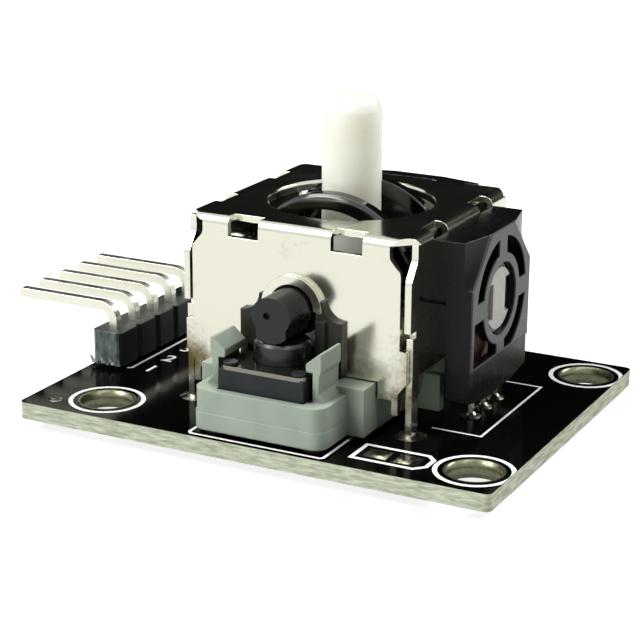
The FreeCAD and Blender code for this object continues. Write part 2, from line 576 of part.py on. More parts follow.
def header():
    """A snapped-off strip with notches between its places, and square pins bent level."""
    deep = "strip_half - strip_notch"
    front = []
    back = []
    for index in PINS:
        start = f"(({index} - 0.5) * pitch)"
        end = f"(({index} + 0.5) * pitch)"
        for along, side in ((start, deep), (f"{start} + strip_notch", "strip_half"), (f"{end} - strip_notch", "strip_half")):
            front.append((side, along))
            back.append((f"-({side})", along))
    last = f"(({len(PINS)} - 0.5) * pitch)"
    front.append((deep, last))
    back.append((f"-({deep})", last))
    bottom = "board_thick + strip_gap"
    strip = prism("strip_bar", "z", front + back[::-1], (bottom, f"{bottom} + strip_tall"))
    through = ("0", f"{bottom} + strip_tall + 1")
    pins = []
    holes = []
    half = ("-pin / 2", "pin / 2")
    for index in PINS:
        along = (f"{index} * pitch - pin / 2", f"{index} * pitch + pin / 2")
        holes.append(block("strip_hole", half, along, through))
        corners = [
            ("pin / 2", "-tail"),
            ("pin / 2", "pin_high"),
            ("-pin_reach", "pin_high"),
            ("-pin_reach", "pin_high - pin"),
            ("-pin / 2", "pin_high - pin"),
            ("-pin / 2", "-tail"),
        ]
        rounds = [((1,), "pin_bend + pin"), ((4,), "pin_bend"), ((2, 3), "pin_point")]
        pins.append(prism(f"bent_pin_{index}", "y", corners, along, rounds))
    place(remove("strip", strip, holes), "header_strip", "header_x", "header_y", "0")
    place(group("pins", pins), "header_pins", "header_x", "header_y", "0")


def metal_cover():
    """One folded sheet: a top plate with a round hole, four walls, four legs."""
    outside = folded_box("cover_outside", "cover_half", "cover_top", "fold")
    inside = folded_box("cover_inside", "(cover_half - sheet)", "cover_top - sheet", "fold - sheet")
    face = both_sides([
        ("face_top_half", "cover_top - sheet"),
        ("face_top_half", "cover_top - face_neck"),
        ("face_mid_half", "cover_top - face_flare"),
        ("face_mid_half", "pivot_z - face_step"),
        ("face_low_half", "pivot_z - face_step - 0.1"),
        ("face_low_half", "face_foot + face_corner"),
        ("cover_half - tab_in + tab_wide", "face_foot + face_corner - corner_tall"),
        ("cover_half - tab_in + tab_wide", "face_foot - face_low - tab_low"),
        ("cover_half - tab_in", "face_foot - face_low - tab_low"),
        ("cover_half - tab_in", "face_foot - face_low"),
        ("neck_half + neck_gap", "face_foot - face_low"),
        ("neck_half + neck_gap", "face_foot"),
    ])
    side = both_sides([
        ("side_top_half", "cover_top - sheet"),
        ("side_top_half", "cover_top - side_neck"),
        ("side_mid_half", "cover_top - side_flare"),
        ("side_mid_half", "pivot_z - side_notch"),
        ("side_low_half - notch_deep", "pivot_z - side_notch"),
        ("side_low_half - notch_deep", "pivot_z - side_notch - notch_tall"),
        ("side_low_half", "pivot_z - side_notch - notch_tall"),
        ("side_low_half", "-tail"),
        ("side_low_half - leg_wide", "-tail"),
        ("side_low_half - leg_wide", "base_rim + side_low"),
    ])
    bends = [((1, 2, len(face) - 2, len(face) - 3), "ear_round")]
    side_bends = [((1, 2, len(side) - 2, len(side) - 3), "ear_round")]
    near = ("-(cover_half + 1)", "sheet - cover_half")
    far = ("cover_half - sheet", "cover_half + 1")
    all_over = ("-(cover_half + 1)", "cover_half + 1")
    kept = [
        block("plate_region", all_over, all_over, ("cover_top - sheet", "cover_top + 1")),
        prism("front_wall", "y", face, near, bends),
        prism("back_wall", "y", face, far, bends),
        prism("left_wall", "x", side, near, side_bends),
        prism("right_wall", "x", side, far, side_bends),
    ]
    bent = overlap("bent_sheet", remove("cover_box", outside, [inside]), join("kept_sheet", kept))
    short = "cover_half - corner_cut"
    plate_corners = [
        (f"-({short})", "-cover_half"),
        (short, "-cover_half"),
        ("cover_half", f"-({short})"),
        ("cover_half", short),
        (short, "cover_half"),
        (f"-({short})", "cover_half"),
        ("-cover_half", short),
        ("-cover_half", f"-({short})"),
    ]
    eased = prism("plate_outline", "z", plate_corners, ("cover_top - fold - 0.1", "cover_top + 1"), [(tuple(range(8)), "corner_ease")])
    corners = remove("plate_corners", block("plate_square", all_over, all_over, ("cover_top - sheet - 0.01", "cover_top + 0.5")), [eased])
    collars = []
    for axis in "xy":
        collars.append(rod("collar", axis, "collar_outer", ("-(cover_half + collar_out)", "sheet / 2 - cover_half"), ("0", "pivot_z")))
    lower = "(pivot_z - collar_outer - 1)"
    wide = ("-(cover_half + 2)", "cover_half + 2")
    half_collars = remove("half_collars", join("collars", collars), [block("collar_trim", wide, wide, (lower, "pivot_z"))])
    lip_outline = [("0", "cover_top - sheet - lip_deep"), ("cover_hole + lip", "cover_top - sheet - lip_deep"), ("cover_hole + lip", "cover_top - sheet / 2"), ("0", "cover_top - sheet / 2")]
    hole_outline = [
        ("0", "cover_top - 2"),
        ("cover_hole", "cover_top - 2"),
        ("cover_hole", "cover_top - lip_round"),
        ("cover_hole + lip_round * 0.3", "cover_top - lip_round * 0.3"),
        ("cover_hole + lip_round", "cover_top"),
        ("cover_hole + lip_round", "cover_top + 1"),
        ("0", "cover_top + 1"),
    ]
    cuts = [corners, turned("post_hole", hole_outline)]
    for axis in "xy":
        cuts.append(rod("shaft_slot_top", axis, "slot_half", wide, ("0", "pivot_z")))
    narrow = ("-slot_half", "slot_half")
    cuts.append(block("shaft_slot_x", wide, narrow, ("0", "pivot_z")))
    cuts.append(block("shaft_slot_y", narrow, wide, ("0", "pivot_z")))
    over_switch = "switch_high + plate + rivet_tall + switch_room"
    across = ("-(switch_across + switch_room)", "switch_across + switch_room")
    cuts.append(block("switch_doorway", across, ("-(cover_half + 1)", "0"), ("0", over_switch)))
    for sign in "+-":
        span = (f"0 {sign} window_mid - window_half", f"0 {sign} window_mid + window_half")
        for low, high in (("-(cover_half + 1)", "window_in - cover_half"), ("cover_half - window_in", "cover_half + 1")):
            cuts.append(block("window", span, (low, high), ("cover_top - window_low", "cover_top + 1")))
            cuts.append(block("window", (low, high), span, ("cover_top - window_low", "cover_top + 1")))
    body = join("cover_body", [bent, half_collars, turned("hole_lip", lip_outline)])
    place(remove("cover", body, cuts), "metal_cover", "stick_x", "stick_y", "0")


def folded_box(name, half, top, radius):
    """A block on the board's level whose four top edges are rounded."""
    box = block(name, (f"-{half}", half), (f"-{half}", half), ("-3", top))
    doc.recompute()
    high = box.Shape.BoundBox.ZMax - 1e-4
    edges = [index for index, edge in enumerate(box.Shape.Edges, 1) if edge.BoundBox.ZMin > high]
    fillet = doc.addObject("Part::Fillet", name + "_fold")
    fillet.Base = box
    size = fold_size(radius)
    fillet.Edges = [(index, size, size) for index in edges]
    return fillet


def fold_size(radius):
    """The value of a radius that is stated in names of the sheet."""
    dim.set("C1", "=" + radius)
    doc.recompute()
    return float(dim.get("C1"))


def base_moulding():
    """The plastic base: a walled floor, the switch tray with two snap arms, and lugs."""
    floor = block("base_block", ("-base_side", "base_side"), ("-base_half", "base_half"), ("base_low", "base_rim"))
    inner_x = ("base_wall - base_side", "base_side - base_wall")
    inner_y = ("base_wall - base_half", "base_half - base_wall")
    hollow = block("base_hollow", inner_x, inner_y, ("base_floor", "base_rim + 1"))
    neck = block("base_neck", ("-neck_half", "neck_half"), ("-neck_front", "-base_half + 0.5"), ("base_low", "base_rim"))
    front = [("-tray_half", "-tray_front"), ("tray_half", "-tray_front"), ("tray_half", "-neck_front + 0.5"), ("-tray_half", "-neck_front + 0.5")]
    tray = prism("tray", "z", front, ("base_low", "tray_rim"), [((0, 1), "tray_corner")])
    proud = "(tray_half + parting_out)"
    lip = [(f"-{proud}", "-(tray_front + parting_out)"), (proud, "-(tray_front + parting_out)"), (proud, "-neck_front + 0.5"), (f"-{proud}", "-neck_front + 0.5")]
    lower = prism("tray_lower", "z", lip, ("base_low", "parting"), [((0, 1), "tray_corner")])
    arms = []
    for sign, tag in MIRROR:
        near = "(switch_across + arm_gap)"
        beak = f"({near} - beak_in)"
        under = "switch_high + plate + beak_low"
        outer = f"({near} + arm_thick)"
        arm = [
            (f"{tag}({outer} + arm_root)", "tray_rim - 0.5"),
            (f"{tag}({outer} + arm_root)", "tray_rim"),
            (f"{tag}({outer} - arm_waist)", "tray_rim + 0.6"),
            (f"{tag}({outer} - arm_waist)", f"{under} - 0.2"),
            (f"{tag}{outer}", f"{under} + 0.15"),
            (f"{tag}{outer}", f"{under} + beak_tall + beak_slope"),
            (f"{tag}({outer} - 0.2)", f"{under} + beak_tall + beak_slope"),
            (f"{tag}{beak}", f"{under} + beak_tall"),
            (f"{tag}{beak}", under),
            (f"{tag}{near}", under),
            (f"{tag}{near}", "tray_rim - 0.5"),
        ]
        rounds = [((7, 8), "beak_round")]
        arms.append(prism(f"snap_arm_{sign + 1}", "y", arm, ("-(arm_mid + arm_wide / 2)", "-(arm_mid - arm_wide / 2)"), rounds))
    lugs = []
    for sign, tag in MIRROR:
        span = ("lug_in", "lug_in + lug_wide") if sign > 0 else ("-(lug_in + lug_wide)", "-lug_in")
        for name, axis, root in (("right", "y", "base_side"), ("back", "x", "base_half")):
            end = "(cover_half + lug_out)"
            lug = [
                (f"{root} - 0.5", "lug_low"),
                (end, "lug_low"),
                (end, "lug_low + lug_tall"),
                (f"{end} - lug_head", "lug_low + lug_tall"),
                (f"{end} - lug_head - 0.25", "lug_low + 1"),
                (f"{root} - 0.5", "lug_low + 0.8"),
            ]
            lugs.append(prism(f"{name}_lug_{sign + 1}", axis, lug, span))
    ring = remove("guide_ring", rod("ring_wall", "z", "ring_outer", ("base_low", "ring_top")), [rod("ring_bore", "z", "ring_inner", ("base_floor", "ring_top + 1"))])
    feet = []
    for across in "+-":
        spot_x = f"0 {across} (tray_half - foot_in)"
        feet.append(rod("front_foot", "z", "foot_radius", ("board_thick", "base_low + 0.2"), (spot_x, "foot_in - tray_front")))
        spot_x = f"0 {across} (base_side - foot_in)"
        feet.append(rod("back_foot", "z", "foot_radius", ("board_thick", "base_low + 0.2"), (spot_x, "base_half - foot_in")))
    shelled = remove("base_walls", floor, [hollow])
    solid = join("base_solid", [shelled, neck, tray, lower, ring] + feet)
    pocket_x = ("-(switch_across + switch_room)", "switch_across + switch_room")
    pocket_y = ("-(switch_mid + switch_deep + switch_room)", "-(switch_mid - switch_deep - switch_room)")
    cuts = [block("switch_pocket", pocket_x, pocket_y, ("switch_low", "tray_rim + 3"))]
    for along in "+-":
        spot = f"(-switch_mid {along} blade_mid)"
        wide = ("-(switch_across + blade_thick + switch_room)", "switch_across + blade_thick + switch_room")
        cuts.append(block("lead_channel", wide, (f"{spot} - blade_wide / 2 - 0.05", f"{spot} + blade_wide / 2 + 0.05"), ("0", "tray_rim + 3")))
    body = join("base_whole", [remove("base_cut", solid, cuts)] + arms + lugs)
    place(body, "base_moulding", "stick_x", "stick_y", "0")


def shaft_guide():
    """A black plate clipped over the front slot, with a slot for the shaft to drop in."""
    back = "-cover_half"
    wing_front = "-(cover_half + guide_thick)"
    boss_front = "-(cover_half + guide_thick + boss_out)"
    low = "guide_low - pivot_z"
    high = "guide_high - pivot_z"
    wings = block("guide_wings", ("-guide_half", "guide_half"), (wing_front, back), (low, high))
    boss = block("guide_boss", ("-boss_half", "boss_half"), (boss_front, back), (low, high))
    crown_half = "(collar_outer + horn + guide_bell)"
    crown = block("guide_crown", (f"-{crown_half}", crown_half), (wing_front, back), (f"{high} - 0.2", f"{high} + guide_bell"))
    hollows = []
    for sign in "+-":
        hollows.append(rod("guide_hollow", "y", "guide_bell", (f"{wing_front} - 1", f"{back} + 1"), (f"0 {sign} {crown_half}", f"{high} + guide_bell")))
    crown = remove("guide_shoulders", crown, hollows)
    room = ("-(switch_across + switch_room)", "switch_across + switch_room")
    deep = (f"{boss_front} - 1", f"{back} + 1")
    cuts = [
        overlap("guide_collar_room", rod("guide_round", "y", "collar_outer + 0.03", deep), block("guide_above", ("-5", "5"), deep, ("-0.01", "5"))),
        rod("guide_shaft_room", "y", "slot_half", deep),
        block("guide_slot", ("-(button + guide_play)", "button + guide_play"), (f"{boss_front} - 1", f"{back} + 1"), (f"{low} - 1", "0")),
        block("guide_over_switch", room, (f"{boss_front} - 1", f"{back} + 1"), (f"{low} - 1", "switch_high + plate + rivet_tall + switch_room - pivot_z")),
        block("guide_top_room", ("-slot_half", "slot_half"), (f"{boss_front} - 1", f"{back} + 1"), ("0", "6")),
    ]
    place(remove("guide", join("guide_solid", [wings, boss, crown]), cuts), "shaft_guide", "stick_x", "stick_y", "pivot_z")


def stick_post():
    """The stick: a round post, flattened where it passes the yokes, on a round foot."""
    seat_low = "post_top - post_bevel - cap_seat"
    post = turned("post", [
        ("0", "0"),
        ("post - post_relief + post_draft", "0"),
        ("post - post_relief", seat_low),
        ("post", seat_low),
        ("post", "post_top - post_bevel"),
        ("(post * 0.62 + post_tip * 0.38)", "post_top - post_bevel * 0.45"),
        ("post_tip", "post_top - 0.1"),
        ("post_tip - 0.12", "post_top"),
        ("0", "post_top"),
    ])
    ball = doc.addObject("Part::Sphere", "foot_ball")
    bind(ball, "Radius", "foot_ball")
    foot = overlap("foot", ball, rod("foot_stem", "z", "foot_half", ("-foot_ball - 1", "0.5")))
    blank = join("stick_blank", [post, foot])
    wide = ("-6", "6")
    flats = []
    for low, high in (("flat_half", "6"), ("-6", "-flat_half")):
        flats.append(block("flat", (low, high), wide, ("-6", "flat_top")))
    pins = rod("side_pins", "x", "pivot_pin", ("-pivot_reach", "pivot_reach"))
    stick = join("stick", [remove("stick_flats", blank, flats), pins])
    place(stick, "stick_post", "stick_x", "stick_y", "pivot_z")


def lower_yoke():
    """The cradle that carries the stick's pins, on a shaft from front to back."""
    wide = ("-cradle_half", "cradle_half")
    long = ("-cradle_long", "cradle_long")
    corners = [("-cradle_half", "-cradle_low"), ("cradle_half", "-cradle_low"), ("cradle_half", "cradle_high"), ("-cradle_half", "cradle_high")]
    cradle = prism("cradle", "y", corners, long, [((0, 1, 2, 3), "cradle_round")])
    shafts = [
        rod("front_shaft", "y", "shaft", ("-stub_start", "-cradle_long + 0.5")),
        rod("back_shaft", "y", "shaft", ("cradle_long - 0.5", "key_start")),
        rod("front_shoulder", "y", "shoulder", ("-shoulder_far", "-shoulder_near")),
        rod("back_shoulder", "y", "shoulder", ("shoulder_near", "shoulder_far")),
        block("back_key", ("-key_half", "key_half"), ("key_start - 0.5", "key_end"), ("-key_tall", "key_tall")),
    ]
    span = ("-stub_end", "-stub_start + 0.4")
    half_round = overlap("half_round", rod("stub_round", "y", "shaft", span), block("stub_upper", ("-3", "3"), span, ("0", "3")))
    rib_outline = both_sides([("rib_half + rib_flare", "0.3"), ("rib_half + rib_flare", "-rib_flare"), ("rib_half", "-rib_flare * 2.5"), ("rib_half", "-3")])
    rib = overlap("rib", rod("rib_round", "y", "rib_low", span), prism("rib_lower", "y", rib_outline, span))
    cuts = [
        block("cradle_slot", ("-(flat_half + run)", "flat_half + run"), ("-cradle_slot", "cradle_slot"), ("-5", "5")),
        rod("pin_holes", "x", "pivot_pin + run", ("-4", "4")),
        rod("stub_dimple", "y", "0.25", ("-stub_end - 1", "-stub_end + 0.3"), ("-0.3", "0.2")),
    ]
    blank = join("yoke_blank", [cradle, half_round, rib] + shafts)
    place(remove("yoke", blank, cuts), "lower_yoke", "stick_x", "stick_y", "pivot_z")


def upper_yoke():
    """An arch with a slot between two rails, on a shaft from left to right."""
    inside = "(post + rail_gap)"
    half = f"({inside} + rail)"
    span = (f"-{half}", half)
    arch = turned_rod("arch_ring", "arch_outer", half, "arch_round")
    wide = ("-(arch_outer + 1)", "arch_outer + 1")
    cuts = [
        rod("arch_bore", "y", "arch_inner", (f"-{half} - 1", f"{half} + 1")),
        block("arch_below", wide, (f"-{half} - 1", f"{half} + 1"), ("-(arch_outer + 1)", "0")),
        block("rail_slot", ("-slot_reach", "slot_reach"), (f"-{inside}", inside), ("0", "arch_outer + 1")),
    ]
    rails = remove("rails", arch, cuts)
    pieces = [rails]
    for sign, tag in MIRROR:
        near, far = ("arch_inner", "arch_outer") if sign > 0 else ("-arch_outer", "-arch_inner")
        cheek = both_sides([(half, "0.6"), (half, "0"), ("hub * 0.92", "-hub * 0.4")])
        pieces.append(prism(f"cheek_{sign + 1}", "x", cheek, (near, far)))
        pieces.append(rod("cheek_hub", "x", "hub", (near, far)))
        low, high = ("arch_inner", "key_start") if sign > 0 else ("-left_end", "-arch_inner")
        pieces.append(rod("side_shaft", "x", "shaft", (low, high)))
        low, high = ("shoulder_near", "shoulder_far") if sign > 0 else ("-shoulder_far", "-shoulder_near")
        pieces.append(rod("side_shoulder", "x", "shoulder", (low, high)))
    pieces.append(block("side_key", ("key_start - 0.5", "key_end"), ("-key_half", "key_half"), ("-key_tall", "key_tall")))
    bore = rod("cheek_bore", "y", "arch_inner", (f"-{half} - 1", f"{half} + 1"))
    place(remove("arch", join("arch_solid", pieces), [bore]), "upper_yoke", "stick_x", "stick_y", "pivot_z")


def spring_and_seat():
    """A coil spring that lifts a sliding seat against the stick's round foot."""
    seat = turned("seat", [
        ("0", "seat_top"),
        ("seat_radius", "seat_top"),
        ("seat_radius", "seat_low"),
        ("spigot", "seat_low"),
        ("spigot", "seat_low - spigot_tall"),
        ("0", "seat_low - spigot_tall"),
    ])
    place(seat, "spring_seat", "stick_x", "stick_y", "0")
    coil = doc.addObject("Part::Feature", "coil")
    coil.Shape = coil_solid(*(float(dim.get(name)) for name in ("base_floor", "seat_low", "coil_gap", "coil_wire", "coil_radius", "coil_turns")))
    place(coil, "return_spring", "stick_x", "stick_y", "0")


def coil_solid(floor, top, gap, wire, radius, turns):
    """A coil of eight-sided wire, in short straight steps with mitred joints."""
    low = floor + gap + wire
    rise = top - gap - wire - low
    steps = int(round(16 * turns))
    path = []
    for step in range(steps + 1):
        angle = 2 * math.pi * turns * step / steps
        path.append(FreeCAD.Vector(radius * math.cos(angle), radius * math.sin(angle), low + rise * step / steps))
    heading = path[1].sub(path[0]).normalize()
    outward = FreeCAD.Vector(1, 0, 0)
    upward = heading.cross(outward).normalize()
    outward = upward.cross(heading)
    section = []
    for corner in range(9):
        angle = math.pi * (2 * corner + 1) / 8
        section.append(path[0] + outward * (wire * math.cos(angle)) + upward * (wire * math.sin(angle)))
    return Part.makePolygon(path).makePipeShell([Part.makePolygon(section)], True, False, 1)


def push_switch():
    """A square push switch: body, dome, button, riveted cover plate and four leads."""
    middle = "stick_y - switch_mid"
    wide = ("-switch_across", "switch_across")
    deep = ("-switch_deep", "switch_deep")
    blank = block("switch_blank", wide, deep, ("switch_low", "switch_high"))
    well = rod("switch_well", "z", "well", ("well_low", "switch_high + 1"))
    spots = [(f"0 {across} (switch_across - rivet_in)", f"0 {along} (switch_deep - rivet_in)") for across in "+-" for along in "+-"]
    rivets = []
    rivet_holes = []
    for spot in spots:
        rivets.append(rod("rivet_shank", "z", "rivet", ("switch_high - 0.2", "switch_high + plate + 0.01"), spot))
        rivets.append(rod("rivet_head", "z", "rivet_head", ("switch_high + plate", "switch_high + plate + rivet_tall"), spot))
        rivet_holes.append(rod("rivet_hole", "z", "rivet", ("switch_high - 1", "switch_high + 1"), spot))
    place(join("switch_case", [remove("switch_hollow", blank, [well])] + rivets), "switch_body", "stick_x", middle, "0")
    corners = [("-switch_across", "-switch_deep"), ("switch_across", "-switch_deep"), ("switch_across", "switch_deep"), ("-switch_across", "switch_deep")]
    sheet = prism("switch_sheet", "z", corners, ("switch_high", "switch_high + plate"), [((0, 1, 2, 3), "plate_corner")])
    holes = rivet_holes + [rod("button_hole", "z", "button + run * 2", ("switch_high - 1", "switch_high + 1"))]
    place(remove("switch_lid", sheet, holes), "switch_plate", "stick_x", middle, "0")
    knob = turned("knob", [
        ("0", "button_low"),
        ("button - 0.75", "button_low"),
        ("button - 0.75", "flange_low"),
        ("flange", "flange_low"),
        ("flange", "flange_high"),
        ("button", "flange_high"),
        ("button", "button_top - button_edge"),
        ("button - button_edge", "button_top"),
        ("0", "button_top"),
    ])
    place(knob, "switch_button", "stick_x", middle, "0")
    dome = turned("dome", [
        ("0", "well_low + dome_rise"),
        ("well * 0.45", "well_low + dome_rise * 0.9"),
        ("well * 0.9", "well_low"),
        ("well * 0.97", "well_low"),
        ("well * 0.97", "well_low + dome_thick"),
        ("well * 0.9", "well_low + dome_thick"),
        ("well * 0.45", "well_low + dome_rise * 0.9 + dome_thick"),
        ("0", "well_low + dome_rise + dome_thick"),
    ])
    place(dome, "contact_dome", "stick_x", middle, "0")
    leads = []
    for low, high in (("switch_across", "switch_across + blade_thick"), ("-(switch_across + blade_thick)", "-switch_across")):
        for along in "+-":
            spot = f"(0 {along} blade_mid)"
            leads.append(block("switch_lead", (low, high), (f"{spot} - blade_wide / 2", f"{spot} + blade_wide / 2"), ("-tail", "blade_high")))
    place(group("switch_legs", leads), "switch_leads", "stick_x", middle, "0")


def rotary_resistor(side, turn):
    """Housing with a spoked face, wafer, rotor, wiper and leads, drawn facing +X."""
    where = ("stick_x", "stick_y", "pivot_z", turn)
    half = ("-pot_half", "pot_half")
    inner = block(side + "_inner", ("cover_half", "pot_bevel"), half, ("-pot_inner_low", "pot_top"))
    outer = block(side + "_outer", ("pot_split", "pot_bevel"), half, ("-face_down", "pot_top"))
    body = doc.addObject("PartDesign::Body", side + "_front")
    square = both_sides([("pot_half - 0.02", "pot_top"), ("pot_half", "bevel_low"), ("pot_half", "-face_down")])
    bevelled = both_sides([("bevel_in", "pot_top"), ("pot_half", "bevel_low"), ("pot_half", "-face_down")])
    first = outline(body, side + "_square", "x", square, "pot_bevel")
    second = outline(body, side + "_bevelled", "x", bevelled, "pot_face")
    loft = body.newObject("PartDesign::AdditiveLoft", side + "_loft")
    loft.Profile = first
    loft.Sections = [second]
    loft.Ruled = True
    skirt_shape = both_sides([("pot_half", "-face_down + 0.3"), ("pot_half", "-skirt_side"), ("skirt_in", "-(skirt_side + skirt_tall)")])
    skirt = prism(side + "_skirt", "x", skirt_shape, ("pot_split", "skirt_out"))
    blank = join(side + "_blank", [inner, outer, body, skirt])
    plate_back = "(pot_face - face_plate)"
    inside = "pot_half - pot_wall"
    cavity = (f"-({inside})", inside)
    hollow = both_sides([(f"{inside} - bevel_inside", "pot_top - pot_wall"), (inside, "bevel_low"), (inside, "-pot_inner_low - 1")])
    exit_side = "lead_pitch + lead_wide + 0.3"
    cuts = [
        prism(side + "_cavity", "x", hollow, ("cover_half - 1", plate_back)),
        block(side + "_lower_cavity", ("pot_split - 1", plate_back), cavity, ("-(wafer_low + wafer_gap)", "0")),
        block(side + "_lead_exit", ("pot_split - 1", plate_back), (f"-({exit_side})", exit_side), ("-skirt_side - skirt_tall - 1", "0")),
    ]
    outer_span = (plate_back + " - 0.1", "pot_face + 1")
    above = block(side + "_face_open", outer_span, ("-eye - 1", "eye + 1"), ("-corner_low", "eye + 1"))
    eye = overlap(side + "_eye_open", rod(side + "_eye", "x", "eye", outer_span), above)
    ring = remove(side + "_bearing", rod(side + "_ring", "x", "bearing + bearing_wall", outer_span), [rod(side + "_bore", "x", "bearing", outer_span)])
    upright = block(side + "_upright", outer_span, ("-spoke / 2", "spoke / 2"), ("-eye - 1", "eye + 1"))
    level = block(side + "_level", outer_span, ("-eye - 1", "eye + 1"), ("-spoke / 2", "spoke / 2"))
    middle = rod(side + "_middle", "x", "bearing", outer_span)
    spokes = remove(side + "_spokes", join(side + "_cross", [upright, level, ring]), [middle])
    cuts.append(remove(side + "_gaps", eye, [spokes]))
    corner = block(side + "_corner", outer_span, ("-(pot_half - corner_wall)", "-spoke / 2"), ("-corner_low", "-spoke / 2"))
    cuts.append(remove(side + "_corner_open", corner, [rod(side + "_ring_kept", "x", "bearing + bearing_wall", outer_span)]))
    for low, high in (("-pot_half - 1", "clip_deep - pot_half"), ("pot_half - clip_deep", "pot_half + 1")):
        cuts.append(block(side + "_notch", ("cover_half - 1", "pot_split"), (low, high), ("clip_low", "clip_low + clip_tall")))
    place(remove(side + "_case", blank, cuts), side + "_pot_housing", *where)

    shape = both_sides([("wafer_half - wafer_corner", "wafer_high"), ("wafer_half", "wafer_high - wafer_corner"), ("wafer_half", "-wafer_low")])
    wafer = prism(side + "_wafer_blank", "x", shape, ("wafer_near", "wafer_far"))
    hole = rod(side + "_wafer_hole", "x", "wafer_bore", ("wafer_near - 1", "wafer_far + 1"))
    place(remove(side + "_wafer", wafer, [hole]), side + "_pot_wafer", *where)

    disc = rod(side + "_disc", "x", "rotor_disc", ("rotor_near", "disc_far"))
    stem = rod(side + "_stem", "x", "rotor", ("rotor_near", "rotor_far - end_deep"))
    end = rod(side + "_end", "x", "rotor - end_in", ("rotor_far - end_deep - 0.5", "rotor_far"))
    play = "key_play"
    hollows = [block(side + "_key_slot", ("rotor_near - 1", f"key_end + {play}"), (f"-key_half - {play}", f"key_half + {play}"), (f"-key_tall - {play}", f"key_tall + {play}"))]
    for low, high in (("web_half", "rotor + 1"), ("-rotor - 1", "-web_half")):
        hollows.append(block(side + "_hollow", ("rotor_far - lens_deep", "rotor_far + 1"), (low, high), ("-lens", "lens")))
    place(remove(side + "_wheel", join(side + "_wheel_blank", [disc, stem, end]), hollows), side + "_pot_rotor", *where)

    band = rod(side + "_band", "x", "wiper_outer", ("disc_far", "disc_far + wiper_thick"))
    strip = remove(side + "_band_ring", band, [rod(side + "_band_bore", "x", "wiper_inner", ("disc_far - 1", "disc_far + 1"))])
    fingers = []
    for tag, (low, high) in (("upper", ("wiper_inner + 0.1", "wiper_inner + 0.1 + finger")), ("lower", ("wiper_outer - finger - 0.1", "wiper_outer - 0.1"))):
        fingers.append(block(f"{side}_{tag}_tip", ("disc_far", "disc_far + wiper_thick + finger_lift"), ("-0.2", "0.2"), (low, high)))
    place(join(side + "_brush", [strip] + fingers), side + "_pot_wiper", *where)

    leads = []
    for step in (-1, 0, 1):
        across = (f"({step}) * lead_pitch - lead_wide / 2", f"({step}) * lead_pitch + lead_wide / 2")
        leads.append(block(side + "_lead", ("wafer_far", "wafer_far + lead_thick"), across, ("-pivot_z - tail", "-lead_top")))
    place(group(side + "_lead_set", leads), side + "_pot_leads", *where)


circuit_board()
solder_joints()
header()
metal_cover()
base_moulding()
shaft_guide()
stick_post()
lower_yoke()
upper_yoke()
spring_and_seat()
push_switch()
rotary_resistor("right", NO_TURN)
rotary_resistor("back", FreeCAD.Rotation(Z_AXIS, 90))

doc.recompute()

failed = [f"{item.Name}: {item.State}" for item in doc.Objects if "Invalid" in item.State or "Error" in item.State]
if failed:
    raise RuntimeError("these objects failed: " + "; ".join(failed))
for piece in finished:
    if piece.Shape.isNull() or not piece.Shape.isValid() or not piece.Shape.Solids:
        raise RuntimeError(f"{piece.Label} has no valid solid")

os.makedirs("parts", exist_ok=True)
for piece in finished:
    piece.Shape.exportStep(f"parts/{piece.Label}.step")
    print(f"{piece.Label}: {len(piece.Shape.Solids)} solids, {piece.Shape.Volume:.2f} mm3")
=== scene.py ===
import math

import bmesh
import bpy
from mathutils import Matrix, Vector


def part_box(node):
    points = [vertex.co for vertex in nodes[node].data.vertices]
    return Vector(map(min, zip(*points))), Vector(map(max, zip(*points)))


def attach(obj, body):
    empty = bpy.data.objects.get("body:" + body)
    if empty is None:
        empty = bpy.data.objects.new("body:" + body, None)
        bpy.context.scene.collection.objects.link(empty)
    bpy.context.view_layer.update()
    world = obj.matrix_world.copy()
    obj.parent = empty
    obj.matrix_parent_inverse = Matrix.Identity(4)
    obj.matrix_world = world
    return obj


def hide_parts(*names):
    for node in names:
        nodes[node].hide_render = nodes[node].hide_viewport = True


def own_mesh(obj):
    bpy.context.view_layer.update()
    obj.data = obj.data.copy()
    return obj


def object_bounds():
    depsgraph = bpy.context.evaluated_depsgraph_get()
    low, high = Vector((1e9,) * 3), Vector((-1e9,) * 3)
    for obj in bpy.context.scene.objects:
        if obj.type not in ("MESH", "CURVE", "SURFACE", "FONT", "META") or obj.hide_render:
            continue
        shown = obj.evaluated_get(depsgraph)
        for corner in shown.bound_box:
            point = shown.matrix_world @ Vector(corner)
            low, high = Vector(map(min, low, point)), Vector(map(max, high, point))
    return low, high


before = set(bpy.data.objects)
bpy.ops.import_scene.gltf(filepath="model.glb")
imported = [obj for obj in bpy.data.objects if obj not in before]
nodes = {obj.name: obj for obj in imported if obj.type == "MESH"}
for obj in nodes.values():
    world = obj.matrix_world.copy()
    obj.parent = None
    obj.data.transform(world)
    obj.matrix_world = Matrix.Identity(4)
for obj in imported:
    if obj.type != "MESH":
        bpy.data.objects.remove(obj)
cad_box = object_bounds()
scene = bpy.context.scene
MM = 0.001

# Camera
# A long lens a hand's breadth away, in front of the module and a little to its right,
# looking slightly down, so that the front wall, the top and the right resistor all show.
AZIMUTH = math.radians(27.186)
ELEVATION = math.radians(17.717)
ROLL = math.radians(-0.391)
DISTANCE = 132.032 * MM
LOOK_AT = Vector((-0.860, -3.250, 7.0)) * MM
SENSOR_WIDTH = 36.0
FOCAL_LENGTH = 108.144

